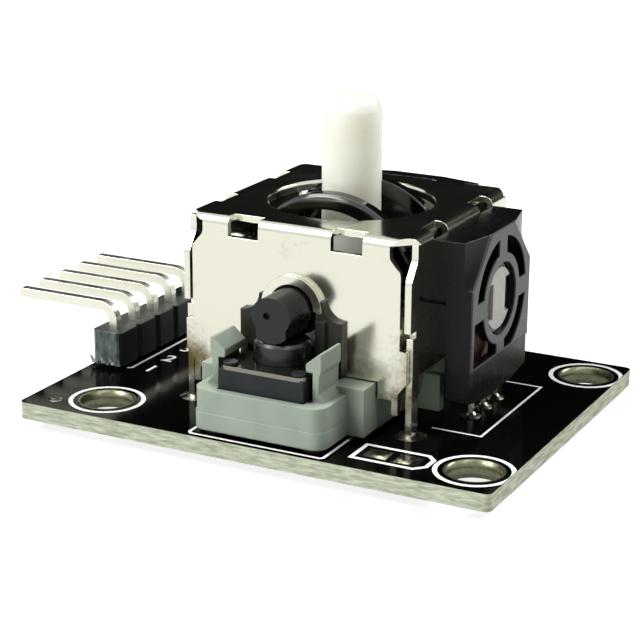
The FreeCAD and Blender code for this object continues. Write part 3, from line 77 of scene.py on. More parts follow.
back = Vector((
    math.sin(AZIMUTH) * math.cos(ELEVATION),
    -math.cos(AZIMUTH) * math.cos(ELEVATION),
    math.sin(ELEVATION),
))
right = Vector((math.cos(AZIMUTH), math.sin(AZIMUTH), 0.0))
up = back.cross(right)
rolled_right = right * math.cos(ROLL) - up * math.sin(ROLL)
rolled_up = right * math.sin(ROLL) + up * math.cos(ROLL)
place = Matrix((rolled_right, rolled_up, back)).transposed().to_4x4()
place.translation = LOOK_AT + back * DISTANCE
lens = bpy.data.cameras.new("view")
lens.sensor_width = SENSOR_WIDTH
lens.lens = FOCAL_LENGTH
lens.clip_start = 5 * MM
lens.clip_end = 20.0
camera = bpy.data.objects.new("view", lens)
camera.matrix_world = place
scene.collection.objects.link(camera)
scene.camera = camera
scene.view_settings.view_transform = "Standard"


# Studio
# A pale table in a white room, a large soft box at the front left, a smaller one at the back
# right, a long strip overhead whose highlight runs along the arch and the folds, and a wide
# black card behind, which the level metal and the glossy board reflect.
def linear(code):
    """An sRGB hex colour as linear values with full cover."""
    parts = [int(code[i:i + 2], 16) / 255 for i in (1, 3, 5)]
    return [p / 12.92 if p <= 0.04045 else ((p + 0.055) / 1.055) ** 2.4 for p in parts] + [1.0]


def add(tree, kind, links=None, stops=(), **settings):
    """Adds a node with its settings.

    links feed its sockets, or set them to a value, and stops are places and colours on a ramp.
    """
    node = tree.nodes.new(kind)
    for name, value in settings.items():
        setattr(node, name, value)
    for name, value in (links or {}).items():
        if isinstance(value, bpy.types.NodeSocket):
            tree.links.new(value, node.inputs[name])
        else:
            node.inputs[name].default_value = value
    for index, (position, code) in enumerate(stops):
        node.color_ramp.elements[index].position = position
        node.color_ramp.elements[index].color = linear(code)
    return node


def dressed(name, base, roughness, **sockets):
    """A material with its Principled shader, ready for a pattern to vary its plain values."""
    material = bpy.data.materials.new(name)
    material.use_nodes = True
    shader = material.node_tree.nodes["Principled BSDF"]
    shader.inputs["Base Color"].default_value = linear(base)
    shader.inputs["Roughness"].default_value = roughness
    for socket, value in sockets.items():
        shader.inputs[socket.replace("_", " ")].default_value = value
    return material, material.node_tree, shader


def piece(name, mesh, material, body=None, smooth=True):
    """A new object from a bmesh, with its material, riding on a body of the module."""
    data = bpy.data.meshes.new(name)
    mesh.to_mesh(data)
    mesh.free()
    data.materials.append(material)
    for face in data.polygons:
        face.use_smooth = smooth
    thing = bpy.data.objects.new(name, data)
    scene.collection.objects.link(thing)
    if body:
        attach(thing, body)
    return thing


def sheet(width, depth):
    """A level rectangle round the origin."""
    mesh = bmesh.new()
    x, y = width / 2, depth / 2
    corners = ((-x, -y, 0), (x, -y, 0), (x, y, 0), (-x, y, 0))
    mesh.faces.new([mesh.verts.new(corner) for corner in corners])
    return mesh


# The camera sees the table plain white, because it glows for what the lamps leave short, and
# metal mirrors it at a share of that.
GLOW = 0.88
MIRRORED = 0.62
TABLE_SIDE = 4.0
TABLE_GAP = 0.1 * MM
table = bpy.data.materials.new("white table laminate")
table.use_nodes = True
tree = table.node_tree
tree.nodes.clear()
path = add(tree, "ShaderNodeLightPath")
mirrored = add(tree, "ShaderNodeMath", {
    0: path.outputs["Is Glossy Ray"], 1: MIRRORED,
}, operation="MULTIPLY")
direct = add(tree, "ShaderNodeMath", {
    0: path.outputs["Is Camera Ray"], 1: mirrored.outputs[0],
}, operation="MAXIMUM")
clear = add(tree, "ShaderNodeMath", {
    0: direct.outputs[0], 1: path.outputs["Is Transmission Ray"],
}, operation="MAXIMUM")
paint = add(tree, "ShaderNodeBsdfDiffuse", {"Color": linear("#B4B4B2")})
shine = add(tree, "ShaderNodeEmission", {"Color": linear("#FFFFFF"), "Strength": GLOW})
lit = add(tree, "ShaderNodeAddShader", {0: paint.outputs[0], 1: shine.outputs[0]})
mixed = add(tree, "ShaderNodeMixShader", {0: clear.outputs[0], 1: paint.outputs[0], 2: lit.outputs[0]})
add(tree, "ShaderNodeOutputMaterial", {"Surface": mixed.outputs[0]})
floor = piece("table_top", sheet(TABLE_SIDE, TABLE_SIDE), table)
floor.location.z = cad_box[0][2] - TABLE_GAP

# The card shows in reflections alone, and neither shades nor darkens the module.
card_black, _, _ = dressed("black card", "#040404", 0.9, Specular_IOR_Level=0.1)
card = piece("back_card", sheet(1.40, 0.46), card_black)
card.rotation_euler = (math.radians(90), 0, math.radians(27))
card.location = (-0.20, 0.40, 0.232)
card.visible_camera = False
card.visible_shadow = False
card.visible_diffuse = False


def soft_box(name, place, power, size):
    """A rectangular lamp aimed at the module, with its place and size in metres and power in watts."""
    aim = Vector((0.0, 0.0, 8 * MM))
    light = bpy.data.lights.new(name, "AREA")
    light.shape = "RECTANGLE"
    light.size, light.size_y = size
    light.energy = power
    lamp = bpy.data.objects.new(name, light)
    lamp.location = place
    lamp.rotation_euler = (aim - Vector(place)).to_track_quat("-Z", "Y").to_euler()
    scene.collection.objects.link(lamp)


soft_box("front_left_box", place=(-0.30, -0.36, 0.46), power=3.9, size=(0.34, 0.26))
soft_box("right_box", place=(0.28, 0.35, 0.34), power=2.0, size=(0.16, 0.20))
soft_box("overhead_strip", place=(0.0, -0.10, 0.46), power=1.3, size=(0.90, 0.08))

# The room lights the module faintly, and shows plain white to the camera and in reflections.
ROOM_LIGHT = 0.14
world = bpy.data.worlds.new("white surround")
world.use_nodes = True
scene.world = world
tree = world.node_tree
tree.nodes.clear()
path = add(tree, "ShaderNodeLightPath")
direct = add(tree, "ShaderNodeMath", {
    0: path.outputs["Is Camera Ray"], 1: path.outputs["Is Glossy Ray"],
}, operation="MAXIMUM")
clear = add(tree, "ShaderNodeMath", {
    0: direct.outputs[0], 1: path.outputs["Is Transmission Ray"],
}, operation="MAXIMUM")
room = add(tree, "ShaderNodeBackground", {"Color": linear("#F1F3F6"), "Strength": ROOM_LIGHT})
white = add(tree, "ShaderNodeBackground", {"Color": linear("#FFFFFF"), "Strength": 1.0})
mixed = add(tree, "ShaderNodeMixShader", {0: clear.outputs[0], 1: room.outputs[0], 2: white.outputs[0]})
add(tree, "ShaderNodeOutputWorld", {"Surface": mixed.outputs[0]})


# Circuit board
# Glass-fibre epoxy laminate, routed to size and coated on both faces with glossy black
# solder mask. The cut edges show the bare laminate, pale green with lines of glass cloth.
def coat(node_name, material):
    """Gives one of the module's solids its material."""
    materials = nodes[node_name].data.materials
    materials.clear()
    materials.append(material)


# Solder mask is a smooth lacquer: black, with clear reflections at a low angle and a faint
# orange peel, about a millimetre wide, where it flowed over the copper.
MASK_BLACK = "#040505"
MASK_GLOSS = 0.10
MASK_RIPPLE = 0.9 * MM
board_finish, tree, shader = dressed(
    "black solder mask on laminate", MASK_BLACK, MASK_GLOSS, IOR=1.42, Specular_IOR_Level=0.07,
)
spot = add(tree, "ShaderNodeTexCoord").outputs["Object"]
ripple = add(tree, "ShaderNodeTexNoise", {"Vector": spot, "Scale": 1 / MASK_RIPPLE, "Detail": 3.0})
# The cut edge has layers of glass cloth 0.17 mm apart, drawn coarser so that they show, and
# broken into dashes of lighter and darker fibre.
CLOTH_LAYER = 0.17 * MM
COARSER = 2.2
EDGE_DULL = 0.72
squeezed = add(tree, "ShaderNodeMapping", {"Vector": spot, "Scale": (0.25, 0.25, 1.6)})
dashes = add(tree, "ShaderNodeTexNoise", {
    "Vector": squeezed.outputs[0], "Scale": 1 / (COARSER * CLOTH_LAYER), "Detail": 4.0, "Roughness": 0.65,
})
cut_cloth = add(
    tree, "ShaderNodeValToRGB", {"Fac": dashes.outputs["Fac"]},
    stops=((0.32, "#9DA58B"), (0.62, "#DBE2CB")),
)
# A level face carries the mask, and an upright one is a cut edge. A Mix node takes numbers at
# its sockets 2 and 3, and colours at 6 and 7.
facing = add(tree, "ShaderNodeNewGeometry")
normal = add(tree, "ShaderNodeSeparateXYZ", {"Vector": facing.outputs["True Normal"]})
level = add(tree, "ShaderNodeMath", {0: normal.outputs["Z"]}, operation="ABSOLUTE")
masked = add(tree, "ShaderNodeMath", {0: level.outputs[0], 1: 0.5}, operation="GREATER_THAN").outputs[0]
tint = add(tree, "ShaderNodeMix", {
    "Factor": masked, 6: cut_cloth.outputs["Color"], 7: linear(MASK_BLACK),
}, data_type="RGBA")
gloss = add(tree, "ShaderNodeMix", {"Factor": masked, 2: EDGE_DULL, 3: MASK_GLOSS}, data_type="FLOAT")
relief = add(tree, "ShaderNodeMix", {
    "Factor": masked, 2: dashes.outputs["Fac"], 3: ripple.outputs["Fac"],
}, data_type="FLOAT")
strength = add(tree, "ShaderNodeMix", {"Factor": masked, 2: 0.35, 3: 0.04}, data_type="FLOAT")
bump = add(tree, "ShaderNodeBump", {
    "Height": relief.outputs[0], "Strength": strength.outputs[0], "Distance": 0.05 * MM,
})
tree.links.new(tint.outputs[2], shader.inputs["Base Color"])
tree.links.new(gloss.outputs[0], shader.inputs["Roughness"])
tree.links.new(bump.outputs[0], shader.inputs["Normal"])
coat("circuit_board", board_finish)

(_, _, BOARD_UNDER), (BOARD_RIGHT, _, BOARD_TOP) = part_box("circuit_board")
HOLES = [(x * MM, y * MM) for x in (-13.8, 13.8) for y in (-10.3, 10.3)]
HOLE_RADIUS = 1.9 * MM


# Plated mounting holes
# Copper barrels with a narrow ring on each face, tinned, so they show a soft grey-gold
# shine inside each hole and a thin bright rim.
def rim(mesh, centre, radius, height, steps=64):
    """A round row of vertices."""
    turns = [math.tau * k / steps for k in range(steps)]
    x, y = centre
    return [mesh.verts.new((x + radius * math.cos(t), y + radius * math.sin(t), height)) for t in turns]


def join(mesh, low, high):
    """Faces all the way round between two rows of vertices."""
    for k in range(len(low)):
        after = (k + 1) % len(low)
        mesh.faces.new([low[k], low[after], high[after], high[k]])


# A drilled hole keeps the drill's fine grooves under its plating. They are drawn a quarter of
# a millimetre apart, coarser than they are, so that they show.
GROOVE = 0.25 * MM
tinned, tree, shader = dressed("tinned copper plating", "#8E8F76", 0.30, Metallic=0.85)
spot = add(tree, "ShaderNodeTexCoord").outputs["Object"]
grooves = add(tree, "ShaderNodeTexNoise", {"Vector": spot, "Scale": 1 / GROOVE, "Detail": 4.0})
shade = add(
    tree, "ShaderNodeValToRGB", {"Fac": grooves.outputs["Fac"]},
    stops=((0.0, "#55563E"), (1.0, "#8E8F76")),
)
bump = add(tree, "ShaderNodeBump", {
    "Height": grooves.outputs["Fac"], "Strength": 0.35, "Distance": 0.03 * MM,
})
tree.links.new(shade.outputs["Color"], shader.inputs["Base Color"])
tree.links.new(bump.outputs[0], shader.inputs["Normal"])

RIM_WIDE = 0.12 * MM
PLATING = 0.03 * MM
mesh = bmesh.new()
for centre in HOLES:
    top_inner = rim(mesh, centre, HOLE_RADIUS - PLATING, BOARD_TOP + PLATING)
    top_outer = rim(mesh, centre, HOLE_RADIUS + RIM_WIDE, BOARD_TOP + PLATING)
    low_inner = rim(mesh, centre, HOLE_RADIUS - PLATING, BOARD_UNDER - PLATING)
    low_outer = rim(mesh, centre, HOLE_RADIUS + RIM_WIDE, BOARD_UNDER - PLATING)
    join(mesh, top_outer, top_inner)
    join(mesh, low_inner, low_outer)
    join(mesh, top_inner, low_inner)
barrels = piece("hole_plating", mesh, tinned, "module")
for face in barrels.data.polygons:
    face.use_smooth = abs(face.normal.z) < 0.5


# White print
# Epoxy ink screened on the mask, about 0.02 mm thick: matt white lines round the holes, the
# switch, the resistors and the chip's pads and beside the header, and plain numbers by its pins.
INK = 0.02 * MM
INK_MESH = 0.20 * MM
ink, tree, shader = dressed("white epoxy print", "#F6F7F4", 0.62)
# The screen's mesh leaves the ink a little thin in places.
spot = add(tree, "ShaderNodeTexCoord").outputs["Object"]
mesh_marks = add(tree, "ShaderNodeTexNoise", {"Vector": spot, "Scale": 1 / INK_MESH, "Detail": 5.0})
shade = add(
    tree, "ShaderNodeValToRGB", {"Fac": mesh_marks.outputs["Fac"]},
    stops=((0.25, "#D5D8D4"), (0.5, "#F6F7F4")),
)
bump = add(tree, "ShaderNodeBump", {
    "Height": mesh_marks.outputs["Fac"], "Strength": 0.25, "Distance": 0.02 * MM,
})
tree.links.new(shade.outputs["Color"], shader.inputs["Base Color"])
tree.links.new(bump.outputs[0], shader.inputs["Normal"])


def line(mesh, points, width, height, closed=False):
    """A flat line of even width with mitred corners, through points in millimetres."""
    spots = [Vector((x, y)) * MM for x, y in points]
    count = len(spots)
    sides = []
    for k, here in enumerate(spots):
        before = spots[k - 1] if k or closed else None
        after = spots[(k + 1) % count] if k < count - 1 or closed else None
        go_in = (here - before).normalized() if before is not None else (after - here).normalized()
        go_out = (after - here).normalized() if after is not None else go_in
        along = (go_in + go_out).normalized()
        across = Vector((-along.y, along.x))
        reach = width / 2 / max(0.3, across.dot(Vector((-go_in.y, go_in.x))))
        sides.append([mesh.verts.new((*(here + across * reach * side), height)) for side in (1, -1)])
    for k in range(count if closed else count - 1):
        after = (k + 1) % count
        mesh.faces.new([sides[k][1], sides[after][1], sides[after][0], sides[k][0]])


LINE = 0.22 * MM
PADS_LINE = 0.30 * MM
RING_INNER = 2.36 * MM
RING_OUTER = 2.68 * MM
PRINT_TOP = BOARD_TOP + INK
PRINT_EDGE = BOARD_RIGHT - 0.02 * MM
BESIDE_HEADER = ((-15.95, 8.2), (-15.95, -3.75), (-16.25, -3.95))
ROUND_SWITCH = (
    (-5.62, -6.0), (-5.62, -12.8), (-5.42, -13.08), (4.22, -13.08), (4.40, -12.9), (4.41, -7.4),
)
ROUND_RIGHT_RESISTOR = ((8.30, -4.60), (11.86, -4.60), (11.86, 6.40), (8.30, 6.40))
ROUND_PADS = (
    (5.85, -11.87), (10.2, -11.87), (10.85, -11.2), (10.85, -9.95), (10.3, -9.40), (5.85, -9.40),
)
ROUND_BACK_RESISTOR = ((-5.2, 8.5), (-5.2, 12.3), (4.0, 12.3), (4.0, 8.5))
mesh = bmesh.new()
for centre in HOLES:
    inner = rim(mesh, centre, RING_INNER, PRINT_TOP)
    join(mesh, rim(mesh, centre, RING_OUTER, PRINT_TOP), inner)
# The two rings by the right edge run off the board there, so they are cut just inside it.
for point in mesh.verts:
    point.co.x = min(point.co.x, PRINT_EDGE)
line(mesh, BESIDE_HEADER, LINE, PRINT_TOP)
line(mesh, ROUND_SWITCH, LINE, PRINT_TOP)
line(mesh, ROUND_RIGHT_RESISTOR, LINE * 0.8, PRINT_TOP)
line(mesh, ROUND_PADS, PADS_LINE, PRINT_TOP, closed=True)
line(mesh, ROUND_BACK_RESISTOR, LINE, PRINT_TOP)
bmesh.ops.recalc_face_normals(mesh, faces=mesh.faces)
print_lines = piece("white_print", mesh, ink, "module", smooth=False)

DIGIT_TALL = 1.35 * MM
TYPE_PER_HEIGHT = 1.35
BOLDER = 0.03 * MM
DIGITS_X = -14.6 * MM
HEADER_PITCH = 2.54 * MM
FIRST_PIN = (-17.57 * MM, -3.34 * MM)
for number in range(5):
    letters = bpy.data.curves.new(f"pin_number_{number + 1}", "FONT")
    letters.body = str(number + 1)
    letters.size = DIGIT_TALL * TYPE_PER_HEIGHT
    letters.offset = BOLDER
    letters.align_x = "CENTER"
    letters.align_y = "CENTER"
    letters.materials.append(ink)
    digit = bpy.data.objects.new(f"pin_number_{number + 1}", letters)
    digit.location = (DIGITS_X, FIRST_PIN[1] + number * HEADER_PITCH, PRINT_TOP)
    scene.collection.objects.link(digit)
    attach(digit, "module")


# Solder
# Bright tin alloy, hand soldered: cones round every lead below the board, and low pools
# that have crept through the holes and round the leads on top.
solder, tree, shader = dressed("bright tin solder", "#8C8B80", 0.23, Metallic=1.0)
# Solder freezes in smooth waves about half a millimetre wide, with dull patches of flux.
WAVE = 0.5 * MM
spot = add(tree, "ShaderNodeTexCoord").outputs["Object"]
waves = add(tree, "ShaderNodeTexNoise", {"Vector": spot, "Scale": 1 / WAVE, "Detail": 2.0})
dull = add(tree, "ShaderNodeMapRange", {
    "Value": waves.outputs["Fac"], "From Min": 0.35, "From Max": 0.7, "To Min": 0.12, "To Max": 0.34,
})
bump = add(tree, "ShaderNodeBump", {
    "Height": waves.outputs["Fac"], "Strength": 0.28, "Distance": 0.08 * MM,
})
tree.links.new(dull.outputs[0], shader.inputs["Roughness"])
tree.links.new(bump.outputs[0], shader.inputs["Normal"])
coat("solder_joints", solder)

# Each lead and leg has a pool, with its place in metres and its half width in millimetres. All
# but the header's are counted from AXES, where the stick's two axes cross, in millimetres.
AXES = (-0.6, 0.9)
RESISTOR_OUT = 10.275
RESISTOR_PITCH = 2.1
LEG_X, LEG_Y = 8.275, 7.5
SWITCH_OUT = 10
SWITCH_X, SWITCH_Y = 3.275, 2.25
LEAD_POOL, LEG_POOL, SWITCH_POOL = 0.62, 0.95, 0.6
POOLS = [(FIRST_PIN[0], FIRST_PIN[1] + k * HEADER_PITCH, LEAD_POOL) for k in range(5)]
for k in (-1, 0, 1):
    POOLS.append(((AXES[0] + RESISTOR_OUT) * MM, (AXES[1] + k * RESISTOR_PITCH) * MM, LEAD_POOL))
for k in (-1, 0, 1):
    POOLS.append(((AXES[0] - k * RESISTOR_PITCH) * MM, (AXES[1] + RESISTOR_OUT) * MM, LEAD_POOL))
CORNERS = [(sx, sy) for sx in (-1, 1) for sy in (-1, 1)]
for sx, sy in CORNERS:
    POOLS.append(((AXES[0] + sx * LEG_X) * MM, (AXES[1] + sy * LEG_Y) * MM, LEG_POOL))
for sx, sy in CORNERS:
    x, y = AXES[0] + sx * SWITCH_X, AXES[1] - SWITCH_OUT + sy * SWITCH_Y
    POOLS.append((x * MM, y * MM, SWITCH_POOL))
# A pool's outline, as a share of its half width and a height in millimetres.
POOL_OUTLINE = ((1.15, 0.0), (1.02, 0.05), (0.8, 0.12), (0.55, 0.20), (0.38, 0.34))
mesh = bmesh.new()
for x, y, half in POOLS:
    rims = [
        rim(mesh, (x, y), half * MM * share, BOARD_TOP + rise * MM, steps=28)
        for share, rise in POOL_OUTLINE
    ]
    for low, high in zip(rims, rims[1:]):
        join(mesh, low, high)
pools = piece("solder_pools", mesh, solder, "module")

# Two bare pads for an unfitted chip resistor, levelled with solder whose sides slope inward.
PAD_SPANS = ((6.35, 8.05), (8.55, 10.25))
PAD_FRONT, PAD_BACK = -11.35, -9.92
PAD_FOOT, PAD_CROWN = 0.01 * MM, 0.07 * MM
CROWN_SHARE = 0.8
mesh = bmesh.new()
for low, high in PAD_SPANS:
    outline = [(low, PAD_FRONT), (high, PAD_FRONT), (high, PAD_BACK), (low, PAD_BACK)]
    middle = Vector((sum(x for x, y in outline) / 4, sum(y for x, y in outline) / 4))
    inset = [((Vector(point) - middle) * CROWN_SHARE + middle) * MM for point in outline]
    base = [mesh.verts.new((x * MM, y * MM, BOARD_TOP + PAD_FOOT)) for x, y in outline]
    crown = [mesh.verts.new((*point, BOARD_TOP + PAD_CROWN)) for point in inset]
    mesh.faces.new(crown)
    join(mesh, base, crown)
# A small plated through hole near the header's corner stands a little proud, filled with tin.
# Its outline is a radius and a height, in millimetres.
VIA = (-17.0 * MM, -11.9 * MM)
VIA_OUTLINE = ((0.52, 0.0), (0.46, 0.05), (0.28, 0.06), (0.16, 0.02))
rims = [rim(mesh, VIA, radius * MM, BOARD_TOP + rise * MM, steps=24) for radius, rise in VIA_OUTLINE]
for low, high in zip(rims, rims[1:]):
    join(mesh, low, high)
mesh.faces.new(rims[-1])
pads = piece("chip_pads", mesh, solder, "module")


# Pin header
# A black glass-filled nylon strip, snapped from a longer one so its front end is rough and
# pale, with square brass pins, tinned, pressed through it and bent level in a jig.
strip, tree, shader = dressed("glass-filled nylon", "#191E20", 0.42, Specular_IOR_Level=0.25)
(strip_left, strip_front, strip_foot), (strip_right, _, _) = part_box("header_strip")
spot = add(tree, "ShaderNodeTexCoord").outputs["Object"]
# The torn end shows whitened fibres in upright tufts about a third of a millimetre wide.
TUFT = 0.34 * MM
TORN_DEEP = 0.12 * MM
drawn = add(tree, "ShaderNodeMapping", {"Vector": spot, "Scale": (1.0, 1.0, 0.35)})
tufts = add(tree, "ShaderNodeTexNoise", {
    "Vector": drawn.outputs[0], "Scale": 1 / TUFT, "Detail": 5.0, "Roughness": 0.6,
})
torn = add(
    tree, "ShaderNodeValToRGB", {"Fac": tufts.outputs["Fac"]},
    stops=((0.34, "#3A4543"), (0.74, "#788681")),
)
# Moulded faces are even, with a grain of short fibres about 0.1 mm long.
FIBRE = 0.12 * MM
grain = add(tree, "ShaderNodeTexNoise", {"Vector": spot, "Scale": 1 / FIBRE, "Detail": 3.0})
moulded = add(
    tree, "ShaderNodeValToRGB", {"Fac": grain.outputs["Fac"]},
    stops=((0.0, "#0E1113"), (1.0, "#191E20")),
)
split = add(tree, "ShaderNodeSeparateXYZ", {"Vector": spot})
broken = add(tree, "ShaderNodeMath", {
    0: split.outputs["Y"], 1: strip_front + TORN_DEEP,
}, operation="LESS_THAN").outputs[0]
tint = add(tree, "ShaderNodeMix", {
    "Factor": broken, 6: moulded.outputs["Color"], 7: torn.outputs["Color"],
}, data_type="RGBA")
rise = add(tree, "ShaderNodeMix", {"Factor": broken, 2: 0.12, 3: 0.9}, data_type="FLOAT")
height = add(tree, "ShaderNodeMix", {
    "Factor": broken, 2: grain.outputs["Fac"], 3: tufts.outputs["Fac"],
}, data_type="FLOAT")
rounded = add(tree, "ShaderNodeBevel", {"Radius": 0.10 * MM}, samples=6)
bump = add(tree, "ShaderNodeBump", {
    "Height": height.outputs[0], "Strength": rise.outputs[0], "Distance": 0.10 * MM,
    "Normal": rounded.outputs[0],
})
tree.links.new(tint.outputs[2], shader.inputs["Base Color"])
tree.links.new(bump.outputs[0], shader.inputs["Normal"])
coat("header_strip", strip)

# Where the strip was snapped off, burrs of whitened nylon stay on the lower edge. Each has its
# place along that edge as a share, and its lift, width, height and lean in millimetres.
BURRS = (
    (-0.04, 0.05, 0.55, 0.75, -0.30), (0.12, 0.00, 0.42, 0.48, 0.16), (0.28, 0.10, 0.50, 0.62, -0.12),
    (0.48, 0.00, 0.40, 0.36, 0.26), (0.62, 0.06, 0.46, 0.55, -0.22), (0.80, 0.02, 0.42, 0.80, 0.08),
)
BURR_FRONT = strip_front - 0.28 * MM
BURR_BACK = BURR_FRONT + 0.36 * MM
BURR_TIP = BURR_FRONT + 0.10 * MM
FRAY = 0.15 * MM
burr_white, tree, shader = dressed("whitened nylon burrs", "#C9D0C8", 0.6, Specular_IOR_Level=0.25)
spot = add(tree, "ShaderNodeTexCoord").outputs["Object"]
fray = add(tree, "ShaderNodeTexNoise", {"Vector": spot, "Scale": 1 / FRAY, "Detail": 4.0})
shade = add(
    tree, "ShaderNodeValToRGB", {"Fac": fray.outputs["Fac"]},
    stops=((0.35, "#56615D"), (0.6, "#C9D0C8")),
)
tree.links.new(shade.outputs["Color"], shader.inputs["Base Color"])
mesh = bmesh.new()
for along, lift, wide, tall, lean in BURRS:
    left = strip_left + along * (strip_right - strip_left)
    foot = strip_foot + lift * MM
    root = [mesh.verts.new(corner) for corner in (
        (left, BURR_BACK, foot),
        (left + wide * MM, BURR_BACK, foot),
        (left + wide * 0.55 * MM, BURR_FRONT, foot + 0.06 * MM),
    )]
    tip = mesh.verts.new((left + (wide * 0.5 + lean) * MM, BURR_TIP, foot + tall * MM))
    mesh.faces.new(root)
    for k in range(3):
        mesh.faces.new([root[k], tip, root[(k + 1) % 3]])
bmesh.ops.recalc_face_normals(mesh, faces=mesh.faces)
burrs = piece("strip_burrs", mesh, burr_white, "module", smooth=False)

# Dipped tin is slightly cloudy, in patches a little under a millimetre wide.
TIN_CLOUD = 0.8 * MM
pin_finish, tree, shader = dressed("tin plate on brass", "#E9E8DA", 0.34, Metallic=1.0)
spot = add(tree, "ShaderNodeTexCoord").outputs["Object"]
cloud = add(tree, "ShaderNodeTexNoise", {"Vector": spot, "Scale": 1 / TIN_CLOUD, "Detail": 4.0})
dull = add(tree, "ShaderNodeMapRange", {
    "Value": cloud.outputs["Fac"], "From Min": 0.3, "From Max": 0.75, "To Min": 0.26, "To Max": 0.42,
})
warm = add(
    tree, "ShaderNodeValToRGB", {"Fac": cloud.outputs["Fac"]},
    stops=((0.0, "#DAD8C8"), (1.0, "#E9E8DA")),
)
rounded = add(tree, "ShaderNodeBevel", {"Radius": 0.08 * MM}, samples=6)
bump = add(tree, "ShaderNodeBump", {
    "Height": cloud.outputs["Fac"], "Strength": 0.12, "Distance": 0.05 * MM, "Normal": rounded.outputs[0],
})
tree.links.new(warm.outputs["Color"], shader.inputs["Base Color"])
tree.links.new(dull.outputs[0], shader.inputs["Roughness"])
tree.links.new(bump.outputs[0], shader.inputs["Normal"])
coat("header_pins", pin_finish)


# Metal cover
# One piece of thin steel strip, nickel plated, stamped and folded down on four sides. It is
# bright and slightly warm, with faint rolling lines, and brown marks low on its walls that are
# partly stains and partly painted shade.
NICKEL = "#DAD9CA"
nickel, tree, shader = dressed("nickel-plated steel sheet", NICKEL, 0.16, Metallic=1.0)
spot = add(tree, "ShaderNodeTexCoord").outputs["Object"]
# Rolling lines run across the walls, about a tenth of a millimetre apart, over a faint peel.
ROLLING = 0.12 * MM
PEEL = 0.35 * MM
stretched = add(tree, "ShaderNodeMapping", {"Vector": spot, "Scale": (0.06, 0.06, 1.0)})
rolled = add(tree, "ShaderNodeTexNoise", {
    "Vector": stretched.outputs[0], "Scale": 1 / ROLLING, "Detail": 3.0,
})
peel = add(tree, "ShaderNodeTexNoise", {"Vector": spot, "Scale": 1 / PEEL, "Detail": 2.0})
both = add(tree, "ShaderNodeMath", {0: rolled.outputs["Fac"], 1: peel.outputs["Fac"]}, operation="ADD")
# Flux and finger marks are clouds of a few millimetres with specks in them.
CLOUD = 3.2 * MM
SPECK = 0.30 * MM
clouds = add(tree, "ShaderNodeTexNoise", {
    "Vector": spot, "Scale": 1 / CLOUD, "Detail": 2.0, "Roughness": 0.4,
})
specks = add(tree, "ShaderNodeTexNoise", {
    "Vector": spot, "Scale": 1 / SPECK, "Detail": 4.0, "Roughness": 0.6,
})
stains = add(tree, "ShaderNodeMix", {
    "Factor": 0.22, 2: clouds.outputs["Fac"], 3: specks.outputs["Fac"],
}, data_type="FLOAT")
# Low on the walls and toward the corners the marks deepen, partly stains and partly painted
# shade, and less so down on the legs.
split = add(tree, "ShaderNodeSeparateXYZ", {"Vector": spot})
lowness = add(tree, "ShaderNodeMapRange", {
    "Value": split.outputs["Z"], "From Min": 2.5 * MM, "From Max": 10.5 * MM,
    "To Min": 0.36, "To Max": 0.0,
})
sideways = add(tree, "ShaderNodeMath", {0: split.outputs["X"], 1: -AXES[0] * MM}, operation="ADD")
outward = add(tree, "ShaderNodeMath", {0: sideways.outputs[0]}, operation="ABSOLUTE")
corner = add(tree, "ShaderNodeMapRange", {
    "Value": outward.outputs[0], "From Min": 2.5 * MM, "From Max": 8.0 * MM,
    "To Min": 0.35, "To Max": 1.5,
})
above_legs = add(tree, "ShaderNodeMapRange", {
    "Value": split.outputs["Z"], "From Min": 2.6 * MM, "From Max": 4.0 * MM,
    "To Min": 0.45, "To Max": 1.0,
})
low_and_outward = add(tree, "ShaderNodeMath", {
    0: lowness.outputs[0], 1: corner.outputs[0],
}, operation="MULTIPLY")
stain_and_shade = add(tree, "ShaderNodeMath", {
    0: low_and_outward.outputs[0], 1: above_legs.outputs[0],
}, operation="MULTIPLY")
grime_and_shade = add(tree, "ShaderNodeMath", {0: stains.outputs[0], 1: stain_and_shade.outputs[0]}, operation="ADD")
warm = add(
    tree, "ShaderNodeValToRGB", {"Fac": grime_and_shade.outputs[0]},
    stops=((0.64, NICKEL), (0.98, "#6B6040")),
)
warm.color_ramp.interpolation = "EASE"
dull = add(tree, "ShaderNodeMapRange", {
    "Value": grime_and_shade.outputs[0], "From Min": 0.55, "From Max": 0.95, "To Min": 0.14, "To Max": 0.30,
})
rounded = add(tree, "ShaderNodeBevel", {"Radius": 0.06 * MM}, samples=6)
bump = add(tree, "ShaderNodeBump", {
    "Height": both.outputs[0], "Strength": 0.06, "Distance": 0.03 * MM, "Normal": rounded.outputs[0],
})
tree.links.new(warm.outputs["Color"], shader.inputs["Base Color"])
tree.links.new(dull.outputs[0], shader.inputs["Roughness"])
tree.links.new(bump.outputs[0], shader.inputs["Normal"])
coat("metal_cover", nickel)


# Base
# A grey-green thermoplastic moulding with a fine matt grain from its tool and faint marks
# where the melt flowed. It carries the switch between two snap arms, under the cover.
base_finish, tree, shader = dressed(
    "grey moulded nylon", "#ABB7A9", 0.45, Specular_IOR_Level=0.35,
    Subsurface_Weight=0.06, Subsurface_Radius=(0.6 * MM, 0.6 * MM, 0.5 * MM), Subsurface_Scale=1.0,
)
TOOL_GRAIN = 0.10 * MM
FLOW_MARK = 3.0 * MM
spot = add(tree, "ShaderNodeTexCoord").outputs["Object"]
grain = add(tree, "ShaderNodeTexNoise", {"Vector": spot, "Scale": 1 / TOOL_GRAIN, "Detail": 3.0})
flow = add(tree, "ShaderNodeTexNoise", {
    "Vector": spot, "Scale": 1 / FLOW_MARK, "Detail": 3.0, "Distortion": 0.5,
})
shade = add(
    tree, "ShaderNodeValToRGB", {"Fac": flow.outputs["Fac"]},
    stops=((0.3, "#9CA99B"), (0.7, "#ABB7A9")),
)
